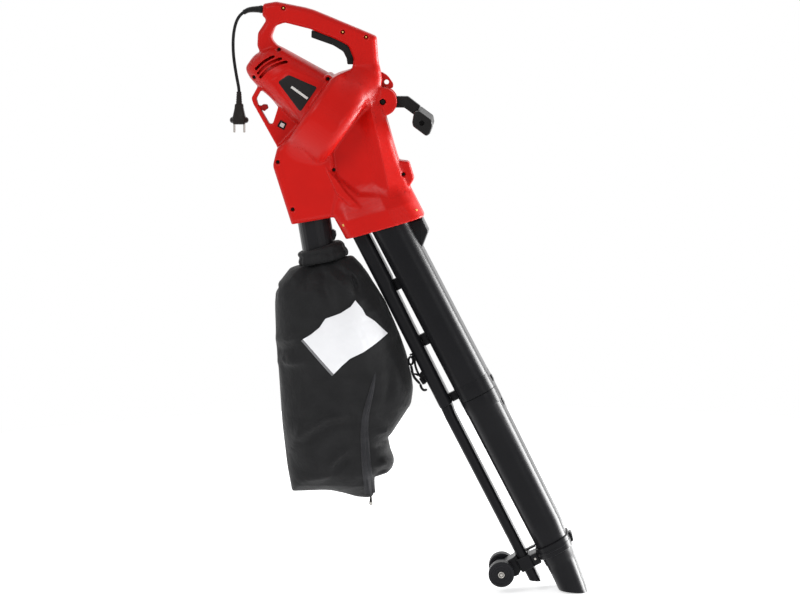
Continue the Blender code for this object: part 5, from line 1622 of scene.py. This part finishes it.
class FaceMap:
    """How far a surface's near face stands from the middle plane, over the side view.

    Each point's depth is spread over nearby cells with a bell weight, and a cell holds the weighted mean.

    Args:
        points: Points of the near face in millimetres.
        cell: Cell size.
        reach: Width of the bell.
    """

    def __init__(self, points: Array, cell: float = 3.0, reach: float = 3.4) -> None:
        """Spreads the depths."""
        self.cell = cell
        self.low = points[:, [0, 2]].min(0) - 4 * cell
        counts = np.ceil((points[:, [0, 2]].max(0) + 4 * cell - self.low) / cell).astype(int) + 1
        total, weight = np.zeros(counts), np.full(counts, 1e-9)
        at = (points[:, [0, 2]] - self.low) / cell
        base = np.round(at).astype(int)
        for right in range(-3, 4):
            for up in range(-3, 4):
                spot = base + (right, up)
                away = ((spot - at) ** 2).sum(1) * cell * cell
                share = np.exp(-away / (2.0 * reach * reach))
                np.add.at(total, (spot[:, 0], spot[:, 1]), share * -points[:, 1])
                np.add.at(weight, (spot[:, 0], spot[:, 1]), share)
        self.depth = total / weight

    def at(self, x: Array, z: Array) -> Array:
        """Depth at side-view points, read between cells."""
        return between(self.depth, (x - self.low[0]) / self.cell, (z - self.low[1]) / self.cell)


@dataclass(frozen=True)
class Bag:
    """The cloth bag with its panel, zip flap and hardware.

    Args:
        step: Distance between the cloth's points before it settles.
        power: Roundness of the section, where 2 is an ellipse.
        cap: Furthest that settling may move a point.
        frames: Frames that the cloth settles for.
        slack: How much smaller the outline starts, because settling swells it.
        mouth: Where the cloth begins, down the spout.
        sewn_top: Cloth above this place down the spout is sewn to the neck band.
        sewn_foot: Cloth below this height is sewn to the zip's end, in metres.
    """

    step: float = 4.4
    power: float = 2.25
    cap: float = 4.2
    frames: int = 20
    slack: float = 0.8
    mouth: float = 84.4
    sewn_top: float = 93.0
    sewn_foot: float = -0.910

    OUTLINE = [(-33.5, -464, 2), (-55.2, -473, 8), (-77.5, -503, 14), (-82.7, -521, 12), (-82.2, -540, 10),
               (-78.5, -585.4, 10), (-73.6, -662.6, 10), (-67.2, -775, 10), (-59.4, -855, 10),
               (-53.5, -911, 4), (9.7, -908, 30), (25.7, -909, 20), (48.3, -914, 20), (74, -921.5, 20),
               (96.5, -923.5, 8), (106.8, -919, 4), (109.4, -902, 4), (109.8, -881, 3),
               (135.5, -868.5, 10), (144, -858.5, 6), (147.5, -844.4, 8), (143, -832, 6), (138, -820, 10),
               (135.2, -797.7, 10), (147.5, -781, 14), (178, -733, 14), (181.5, -704.5, 14),
               (178.5, -681.9, 14), (167.5, -636.9, 14), (153.5, -598.3, 14), (126.0, -537.2, 14),
               (102.5, -498.6, 14), (85, -466.4, 12), (66, -447.0, 4)]
    DEPTH = np.array([(-445, 42), (-470, 50), (-488, 64), (-514, 74), (-550, 81), (-595, 85), (-640, 86.5),
                      (-690, 85), (-733, 81), (-790, 73), (-830, 63), (-866, 51), (-892, 36), (-908, 20),
                      (-924, 9)], float)
    ROUND = np.array([(-445, 44), (-480, 56), (-540, 74), (-640, 80), (-760, 70), (-860, 46), (-894, 30),
                      (-924, 16)], float)
    FOLDS = [([(12, -460), (29, -477), (66, -506), (98, -548)], 7.5, 4.2),
             ([(38, -455), (72, -480), (88, -520)], 6.5, 3.6),
             ([(60, -468), (74, -500), (76, -522)], 5.5, -4.6),
             ([(-19, -458), (-41, -478), (-62, -500)], 6.5, 3.4),
             ([(-4, -458), (-20, -486), (-44, -512)], 6.0, -3.0),
             ([(20, -470), (14, -500), (30, -532)], 9.0, -3.4),
             ([(96, -512), (120, -552), (142, -596)], 7.0, 2.6),
             ([(-72, -606), (-43, -598), (-23, -586)], 6.0, 2.6),
             ([(-70, -650), (-40, -642), (-12, -636)], 7.0, 2.6),
             ([(-66, -626), (-40, -618), (-20, -604)], 6.5, -2.2),
             ([(-29, -784), (-9, -770), (19, -750), (62, -742)], 6.0, 3.6),
             ([(-24, -800), (2, -782), (36, -766), (66, -760)], 7.0, -2.8),
             ([(22, -856), (40, -826), (66, -808)], 5.5, 3.4),
             ([(30, -866), (52, -838), (72, -826)], 6.5, -2.4),
             ([(-50, -815), (-36, -788), (-30, -760)], 6.0, 2.2),
             ([(-32, -880), (8, -872), (44, -858)], 7.0, 2.0),
             ([(112, -742), (128, -764), (141, -790)], 6.0, 3.2),
             ([(112, -846), (130, -838), (146, -842)], 6.0, 3.2),
             ([(108, -806), (122, -806), (138, -808)], 6.5, -3.4),
             ([(106, -786), (122, -778), (140, -776)], 5.5, 2.4),
             ([(110, -868), (124, -856), (138, -856)], 5.0, -2.2),
             ([(150, -640), (158, -690), (154, -730)], 9.0, 2.4),
             ([(128, -620), (138, -680), (128, -740)], 9.0, -2.4),
             ([(64, -700), (74, -740), (72, -800)], 9.0, -2.0)]
    ZIP_LINE = [(114, -662), (107.5, -694), (96, -739), (92.2, -774), (93.4, -820), (96.4, -862),
                (98.6, -888), (99.6, -911)]
    CLOTH = {"quality": 5, "mass": 0.15, "air_damping": 2.0, "tension_stiffness": 30.0,
             "compression_stiffness": 30.0, "bending_stiffness": 0.08, "shrink_min": -0.03,
             "use_pressure": True, "uniform_pressure_force": 1.6, "vertex_group_mass": "sewn",
             "pin_stiffness": 1.0}
    PANEL_TOP = [(75.4, -524.8), (66.8, -536.5), (47, -548.5), (19, -558.6), (7.8, -575.4), (-9.1, -589.4),
                 (-24.3, -598.5)]
    PANEL_LOW = [(136.3, -590.8), (114.5, -606.6), (92.1, -621.5), (66, -634.2), (50.2, -648.6), (34.8, -665)]
    PANEL_RIGHT = [(75.4, -524.8), (88.8, -540.8), (95, -553.2), (112, -565.2), (136.3, -590.8)]
    PANEL_LEFT = [(-24.3, -598.5), (-4.5, -620), (14.5, -642), (34.8, -665)]
    # Middle line of the grey strip of painted shade along the panel's lower-left edge.
    SHADED_EDGE_LINE = [(-26.2, -600.4), (-6.4, -621.9), (12.6, -643.9), (33, -667)]
    STRANDS = [([(182.4, -644.5), (185.1, -649.9), (186.8, -661.9), (190.3, -672.8), (194.5, -681.2),
                 (199, -686.5)], 1.7),
               ([(178.2, -660.7), (180, -666.8), (181.8, -676.4), (185.4, -684.9), (190.3, -690.9),
                 (196.9, -698.1)], 2.0),
               ([(182.0, -680.5), (187.2, -678.4), (194.0, -681.5)], 1.5),
               ([(196.4, -697.4), (199.3, -705.6), (203.8, -709.6), (210.0, -708.6)], 1.9),
               ([(197.5, -684.5), (201.5, -690.5), (205.8, -697.5)], 3.7),
               ([(176, -641.5), (180.6, -640), (183.0, -645), (181.5, -652)], 1.5)]
    RING = (178.4, -1.0, -652.5, 4.4, 7.4, 2.3)
    PULLER = [(99.3, -919.4, 0.8), (98.4, -928, 1), (97.4, -934, 2), (99.2, -937.6, 1.8),
              (102.6, -937.6, 1.8), (104.4, -934, 2), (103.2, -928, 1), (102.5, -919.4, 0.8)]
    PULLER_END = [(98.4, -930.5, 0.8), (98.0, -934, 1.5), (99.4, -937.0, 1.4), (102.4, -937.0, 1.4),
                  (103.8, -934, 1.5), (103.4, -930.5, 0.8)]

    def field(self) -> tuple[Block, Array]:
        """The filled bag: a rounded pillow over the outline, with folds on both faces, cut at the mouth.

        With d the distance inside the outline, r the rounding reach and h the half depth, the value is
        (max(1 - d/r, 0)^p + (|y|/h)^p)^(1/p) - 1, times the smaller of r and h, less the folds.

        Returns:
            The samples and the field.
        """
        block = Block((-104, -104, -936), (204, 104, -438), self.step)
        inside = -block.polygon(even(rounded(self.OUTLINE, self.slack), 500))
        z = block.side_z
        depth = np.interp(z, self.DEPTH[::-1, 0], self.DEPTH[::-1, 1])
        reach = np.interp(z, self.ROUND[::-1, 0], self.ROUND[::-1, 1])
        a = np.maximum(1.0 - inside / reach, 0.0)[:, None, :]
        b = np.abs(block.y) / depth[:, None, :]
        field = (a ** self.power + b ** self.power) ** (1.0 / self.power) - 1.0
        field = field * np.minimum(reach, depth)[:, None, :]
        near = 2.3 * self.folds(block.side_x, z)[:, None, :]
        far = 2.1 * self.folds(block.side_x + 14.0, z - 22.0)[:, None, :]
        share = ease(np.abs(block.y), 8.0, 30.0)
        field = field - share * np.where(block.y < 0.0, near, far)
        t, r = SPOUT.place(block.side_x, z)
        mouth = self.mouth - 0.065 * np.maximum(r + 43.0, 0.0) - t
        return block, soft_max(field, mouth[:, None, :], 2.0)

    def folds(self, x: Array, z: Array) -> Array:
        """Height of the folds: each is a bell across its line that fades out at both ends.

        A fold of rise h and width w is h times exp(-(away / w)^2) and sin(pi share)^0.6, over broad
        waves that are 1.3 times the product of two sines.

        Args:
            x: Places to the right.
            z: Heights.

        Returns:
            Heights over the side view.
        """
        height = 1.3 * np.sin(z * 0.031 + x * 0.017) * np.sin(x * 0.026 - z * 0.011)
        for line, width, rise in self.FOLDS:
            spots = walk(line, 9)
            best, share = np.full(x.shape, 1e9), np.zeros(x.shape)
            for k, (a, b) in enumerate(zip(spots, spots[1:])):
                way = b - a
                t = np.clip(((x - a[0]) * way[0] + (z - a[1]) * way[1]) / float(way @ way), 0.0, 1.0)
                away = (x - a[0] - t * way[0]) ** 2 + (z - a[1] - t * way[1]) ** 2
                share = np.where(away < best, (k + t) / 8.0, share)
                best = np.minimum(best, away)
            fade = np.sin(math.pi * np.clip(share, 0.06, 0.94)) ** 0.6
            height = height + rise * np.exp(-best / width ** 2) * fade
        return height

    def settle(self, item: bpy.types.Object) -> None:
        """Lets the sewn cloth, cut a little long, swell and buckle, and keeps the capped result.

        A move of length m is cut to cap times tanh(m / cap), and fades out towards the sewn edges.

        Args:
            item: The cloth shell.
        """
        mesh, scene = item.data, bpy.context.scene
        start = np.empty(len(mesh.vertices) * 3, np.float32)
        mesh.vertices.foreach_get("co", start)
        start = start.reshape(-1, 3).astype(float)
        t, _ = SPOUT.place(start[:, 0] / MM, start[:, 2] / MM)
        sewn = item.vertex_groups.new(name="sewn")
        sewn.add(np.nonzero((t < self.sewn_top) | (start[:, 2] < self.sewn_foot))[0].tolist(), 1.0, "REPLACE")
        cloth = item.modifiers.new("settle", "CLOTH")
        values = cloth.settings
        for name, value in self.CLOTH.items():
            setattr(values, name, value)
        values.effector_weights.gravity = 0.0
        cloth.point_cache.frame_start, cloth.point_cache.frame_end = 1, self.frames
        for frame in range(1, self.frames + 1):
            scene.frame_set(frame)
        settled = item.evaluated_get(bpy.context.evaluated_depsgraph_get()).data
        end = np.empty(len(mesh.vertices) * 3, np.float32)
        settled.vertices.foreach_get("co", end)
        move = end.reshape(-1, 3) - start
        size = np.linalg.norm(move, axis=1, keepdims=True)
        limit = self.cap * MM
        calm = ease(start[:, 2:], -0.912, -0.850) * ease(t[:, None], 92.0, 125.0)
        move = move * calm * (limit * np.tanh(size / limit) / np.maximum(size, 1e-9))
        item.modifiers.clear()
        item.vertex_groups.clear()
        scene.frame_set(1)
        mesh.vertices.foreach_set("co", (start + move).astype(np.float32).ravel())
        mesh.update()
        LOG.info("bag cloth moved up to %.1f mm", float(size.max()) / MM)

    def cloth(self) -> tuple[bpy.types.Object, FaceMap]:
        """The cloth shell, settled.

        Returns:
            The shell and the map of its near face.
        """
        block, field = self.field()
        skin = block.skin(field)
        skin.normals = None
        item = skin.piece("bag_cloth_shell", BAG_CLOTH, Body.HOUSING, ["collection_bag"], sharp=80)
        self.settle(item)
        points = np.empty(len(item.data.vertices) * 3, np.float32)
        item.data.vertices.foreach_get("co", points)
        points = points.reshape(-1, 3).astype(float) / MM
        smooth = item.modifiers.new("even", "SUBSURF")
        smooth.levels = smooth.render_levels = 1
        return item, FaceMap(points[points[:, 1] < -4.0])

    @staticmethod
    def sheet(face: FaceMap, x: Array, z: Array, lift: Array, thick: float) -> Surface:
        """A thin closed sheet over the near face: front rows and back rows joined round their rim.

        Args:
            face: Map of the near face.
            x: Places to the right, by row and column.
            z: Heights.
            lift: How far the sheet stands off the face.
            thick: Its thickness.

        Returns:
            The sheet, whose back is sunk into the cloth.
        """
        y = -face.at(x, z)
        front = np.stack([x, y - lift - thick, z], -1)
        back = np.stack([x, y + 0.8, z], -1)
        return Surface.loft(np.concatenate([front, back[:, ::-1]], 1))

    def panel(self, face: FaceMap) -> Surface:
        """The white panel: the sum of both blends between opposite edges, less the blend of its corners."""
        rows, columns = 64, 52
        top, low = (walk(line, rows)[:, None] for line in (self.PANEL_TOP, self.PANEL_LOW))
        first, last = (walk(line, columns)[None] for line in (self.PANEL_RIGHT, self.PANEL_LEFT))
        t = np.linspace(0.0, 1.0, rows)[:, None, None]
        w = np.linspace(0.0, 1.0, columns)[None, :, None]
        corners = ((1 - t) * (1 - w) * top[:1] + (1 - t) * w * low[:1] + t * (1 - w) * top[-1:]
                   + t * w * low[-1:])
        spots = (1 - w) * top + w * low + (1 - t) * first + t * last - corners
        return self.sheet(face, spots[..., 0], spots[..., 1], np.full(spots.shape[:2], 1.5), 0.5)

    def strip(self, face: FaceMap, line: Sequence[tuple], widths: Sequence[tuple], lift: Callable,
              count: int = 120, across: int = 29) -> Surface:
        """A band along a line on the near face.

        Args:
            face: Map of the near face.
            line: Middle line as (x, z) points from the top down.
            widths: (share along, half width) pairs.
            lift: Height as a function of the share along and the place across, from -1 to 1.
            count: Rows along.
            across: Points across.

        Returns:
            The closed band.
        """
        kernel = np.hanning(15) / np.hanning(15).sum()
        middle = np.stack([np.convolve(np.pad(row, 7, "reflect", reflect_type="odd"), kernel, "valid")
                           for row in walk(line, count).T], -1)
        way = np.gradient(middle, axis=0)
        way = way / np.linalg.norm(way, axis=1, keepdims=True)
        t = np.linspace(0.0, 1.0, count)[:, None]
        w = np.linspace(-1.0, 1.0, across)[None, :]
        half = np.interp(t, *np.array(widths, float).T)
        x = middle[:, :1] - way[:, 1:] * half * w
        z = middle[:, 1:] + way[:, :1] * half * w
        return self.sheet(face, x, z, lift(t, w), 0.3)

    def hook(self) -> Surface:
        """The snap hook on the tube's lug with the twisted tape that ties it to the bag.

        Each strand is a bar that thins to its ends, and the ring is a circle carried round an oval.

        Returns:
            The hook and its tape.
        """
        strands = []
        for line, radius in self.STRANDS:
            path = smooth_route(np.array(line, float), 0.8)
            share = np.linspace(0.0, 1.0, len(path))
            ends = np.maximum(1.0 - share * 12.0, 0.0) + np.maximum(share * 12.0 - 11.0, 0.0)
            strand = hose(path, 1.3 * radius * (1.0 - 0.55 * ends), 14)
            strand.points[:, 1] += -1.2 if strands else 3.2
            strands.append(strand)
        x, y, z, half_x, half_z, radius = self.RING
        angle = np.linspace(0.0, 2.0 * math.pi, 48, endpoint=False)[:, None]
        round_bar = np.linspace(0.0, 2.0 * math.pi, 12, endpoint=False)
        out, aside = radius * np.cos(round_bar), radius * np.sin(round_bar) + y
        ring = np.stack(np.broadcast_arrays(x + np.cos(angle) * (half_x + out), aside,
                                            z + np.sin(angle) * (half_z + out)), -1)
        return merged([*strands, Surface.loft(ring[::-1], closed=True)])

    @staticmethod
    def flap(t: Array, w: Array) -> Array:
        """Height of the zip flap at share t along and w across: an arch with ridges that grow downwards."""
        ridges = 0.5 + 0.5 * np.cos(w * 2.5 * math.pi)
        return ease(t, 0.0, 0.12) * (1.6 + 2.2 * (1.0 - w * w) + (0.8 + 1.8 * t) * ridges) * (1.0 - w ** 6)

    @staticmethod
    def tape(t: Array, w: Array) -> Array:
        """Height of the grey strip that paints the shade along the panel's edge, the same shallow arch at
        every share t along it.
        """
        return 1.5 - 0.3 * w * w

    def make(self) -> None:
        """Builds the bag."""
        item, face = self.cloth()
        self.hook().piece("bag_snap_hook", BLACK_PP, Body.HOUSING, ["snap_hook"])
        rim_plate(self.PULLER, 1.2, 0.5).piece("zip_puller_tab", DARK_STEEL, Body.PULLER, ["zip_puller"])
        rim_plate(self.PULLER_END, 1.7, 0.5).piece("zip_puller_end", STEEL, Body.PULLER)
        self.panel(face).piece("bag_panel", WHITE_PANEL, Body.HOUSING)
        # A grey strip of painted shade along the panel's lower-left edge.
        self.strip(face, self.SHADED_EDGE_LINE, [(0, 1.8), (1, 2.4)], self.tape, 60, 7).piece(
            "bag_panel_shaded_edge", EDGE_SHADE_CLOTH, Body.HOUSING)
        widths = [(0, 1.2), (0.12, 4.2), (0.45, 7.4), (0.75, 9.2), (1, 10.6)]
        # The zip flap's paler tape colour is a painted highlight.
        self.strip(face, self.ZIP_LINE, widths, self.flap).piece("bag_zip_flap", LIT_TAPE_CLOTH, Body.HOUSING)


# Spout


@dataclass(frozen=True)
class SpoutSet:
    """The ribbed spout pipe and the soft band that sews the bag to it.

    Args:
        low: Where the soft band begins along the spout.
        high: Where it ends.
        bore: Radius of its inside, which sits on the pipe.
        count: Points round it.
    """

    low: float = 59.5
    high: float = 85.5
    bore: float = 32.6
    count: int = 192

    PROFILE = np.array([(0.0, 33.0), (0.0, 38.5), (0.05, 40.8), (0.14, 42.2), (0.24, 42.2), (0.34, 40.9),
                        (0.42, 40.2), (0.52, 41.4), (0.64, 42.8), (0.76, 43.4), (0.88, 42.8), (0.96, 41.5),
                        (1.0, 39.5), (1.0, 33.0)])

    def band(self) -> Surface:
        """The soft neck band: a hem roll, a gathered body and a fuller right side.

        The radius at share t along and angle a is the outline of t plus gathers, sin(13a) and sin(21a),
        and a bell-shaped bulge towards the right.

        Returns:
            The closed band.
        """
        angle = 2.0 * math.pi * np.arange(self.count) / self.count
        t, out = self.PROFILE[:, :1], self.PROFILE[:, 1:]
        gather = (np.sin(13 * angle + 0.6) + 0.7 * np.sin(21 * angle + 2.0)) * 0.42
        bulge = 11.0 * np.exp(-((angle + math.pi) % (2 * math.pi) - math.pi) ** 2 / 0.7) * ease(t, -0.3, 0.6)
        share = ease(t, 0.0, 0.5)
        radius = out + (share * gather + bulge) * (out > 36.0)
        lean = (1.0 + np.cos(angle)) * (5.2 - 2.6 * t)
        along = self.low + (self.high - self.low) * t + 0.5 * share * np.sin(5 * angle) - lean
        rings = SPOUT.point(along, radius * np.cos(angle), radius * np.sin(angle))
        inner = SPOUT.point(along[[-1, 0]], self.bore * np.cos(angle), self.bore * np.sin(angle))
        return Surface.loft(np.concatenate([rings, inner])[::-1], closed=True)

    def make(self) -> None:
        """Builds the neck band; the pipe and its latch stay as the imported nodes."""
        self.band().piece("bag_neck_band", BAG_CLOTH, Body.HOUSING, ["bag_collar"], sharp=60)


# Stage


FLOOR_HEIGHT = -1100.7
FLOOR_RADIUS = 2.0
LIGHTS = (("key", (-1.6, -2.6, 1.5), (0.05, 0.0, -0.4), (1.6, 1.6), 56.0),
          ("side strip", (2.0, 0.55, -0.45), (0.3, 0.0, -0.6), (1.1, 1.3), 92.0),
          ("front fill", (1.7, -2.6, -0.2), (0.2, 0.0, -0.6), (1.4, 1.4), 15.0))


def world_light(strength: float) -> bpy.types.World:
    """Soft even light of that strength, which camera, glossy and transmitted rays see as plain white."""
    world = bpy.data.worlds.new("studio")
    world.use_nodes = True
    tree = world.node_tree
    tree.nodes.clear()
    output = tree.nodes.new("ShaderNodeOutputWorld")
    soft, white = tree.nodes.new("ShaderNodeBackground"), tree.nodes.new("ShaderNodeBackground")
    soft.inputs["Color"].default_value = (0.96, 0.98, 1.0, 1.0)
    soft.inputs["Strength"].default_value = strength
    white.inputs["Color"].default_value = (1.0, 1.0, 1.0, 1.0)
    mix, path = tree.nodes.new("ShaderNodeMixShader"), tree.nodes.new("ShaderNodeLightPath")
    seen = path.outputs["Is Camera Ray"]
    for name in ("Is Glossy Ray", "Is Transmission Ray"):
        both = tree.nodes.new("ShaderNodeMath")
        both.operation = "MAXIMUM"
        tree.links.new(seen, both.inputs[0])
        tree.links.new(path.outputs[name], both.inputs[1])
        seen = both.outputs[0]
    for k, socket in enumerate((seen, soft.outputs[0], white.outputs[0])):
        tree.links.new(socket, mix.inputs[k])
    tree.links.new(mix.outputs[0], output.inputs["Surface"])
    return world


def floor(height_mm: float) -> bpy.types.Object:
    """A pale floor disc at that height, which glows enough to look white and still takes the shadow."""
    sheet = NodeSheet("pale_floor")
    shader = sheet.shader
    shader.inputs["Base Color"].default_value = linear("#EDEDED")
    shader.inputs["Roughness"].default_value = 0.9
    shader.inputs["Specular IOR Level"].default_value = 0.0
    away = sheet.add("VectorMath", {"operation": "LENGTH"}, i0=sheet.place)
    share = sheet.add("MapRange", Value=away.outputs["Value"], From_Min=1.15, From_Max=1.9,
                      To_Min=0.62)
    glow = sheet.add("Emission", Color=(1.0, 1.0, 1.0, 1.0), Strength=share.outputs[0])
    both = sheet.add("AddShader", i0=shader.outputs[0], i1=glow.outputs[0])
    sheet.feed(sheet.tree.nodes["Material Output"], "Surface", both.outputs[0])
    mesh = bpy.data.meshes.new("floor")
    angle = np.linspace(0.0, 2.0 * math.pi, 96, endpoint=False)
    ring = np.stack([0.35 + FLOOR_RADIUS * np.cos(angle), FLOOR_RADIUS * np.sin(angle),
                     np.full(96, height_mm * MM)], -1)
    mesh.from_pydata(ring.tolist(), [], [list(range(96))])
    mesh.materials.append(sheet.material)
    item = bpy.data.objects.new("floor", mesh)
    bpy.context.scene.collection.objects.link(item)
    return item


def studio() -> None:
    """Pale floor, soft lights and the camera."""
    scene = bpy.context.scene
    scene.world = world_light(0.42)
    floor(FLOOR_HEIGHT)
    for name, place, aim, size, power in LIGHTS:
        light = bpy.data.lights.new(name, "AREA")
        light.shape = "RECTANGLE"
        (light.size, light.size_y), light.energy = size, power
        item = bpy.data.objects.new(name, light)
        item.location = place
        item.rotation_euler = (Vector(aim) - Vector(place)).to_track_quat("-Z", "Y").to_euler()
        scene.collection.objects.link(item)
    scene.view_settings.view_transform = "Standard"
    lens = bpy.data.cameras.new("camera")
    lens.sensor_width, lens.lens = 36.0, 140.4
    camera = bpy.data.objects.new("camera", lens)
    target = Vector((0.1575, 0.0, -0.5344))
    distance, turn, pitch = 6.0, math.radians(2.18), math.radians(8.215)
    way = Vector((math.sin(turn) * math.cos(pitch), -math.cos(turn) * math.cos(pitch), math.sin(pitch)))
    camera.location = target + way * distance
    camera.rotation_euler = (-way).to_track_quat("-Z", "Y").to_euler()
    lens.clip_start, lens.clip_end = 0.05, 60.0
    scene.collection.objects.link(camera)
    scene.camera = camera


KEPT_NODES = {
    "impeller": GREY_PA, "motor_stator": STEEL, "armature": STEEL, "commutator": COPPER, "motor_shaft": STEEL,
    "impeller_nut": STEEL, "rear_bearing": STEEL, "front_bearing": STEEL, "brush_holder_upper": BRASS,
    "brush_holder_lower": BRASS, "fan_back_plate": BLACK_PP, "mode_flap": BLACK_PP,
    "switch_module": SOFT_BLACK, "cord_clamp": BLACK_PP, "suppression_capacitor": GREY_PA,
    "trigger_pin": DARK_STEEL, "trigger_spring": STEEL, "wheel_axle": STEEL, "spout_latch": BLACK_PP,
    "bag_spout": BLACK_PP, "zip_slider": DARK_STEEL, "hanging_tab": RED_ABS}


def dress_kept_nodes() -> None:
    """Gives each CAD node that stays its finish."""
    for name, finish in KEPT_NODES.items():
        node = frame["nodes"][name]
        node.data.materials.clear()
        node.data.materials.append(finish.material())
        LOG.info("kept node %s in %s", name, finish.name)


def main() -> None:
    logging.basicConfig(level=logging.INFO)
    studio()
    MainsCord().make()
    dress_kept_nodes()
    for part in (Housing(), Controls(), Tubes(), WheelSet(), SpoutSet(), Bag()):
        part.make()
        LOG.info("%s is built", type(part).__name__)


if __name__ == "__main__":
    main()
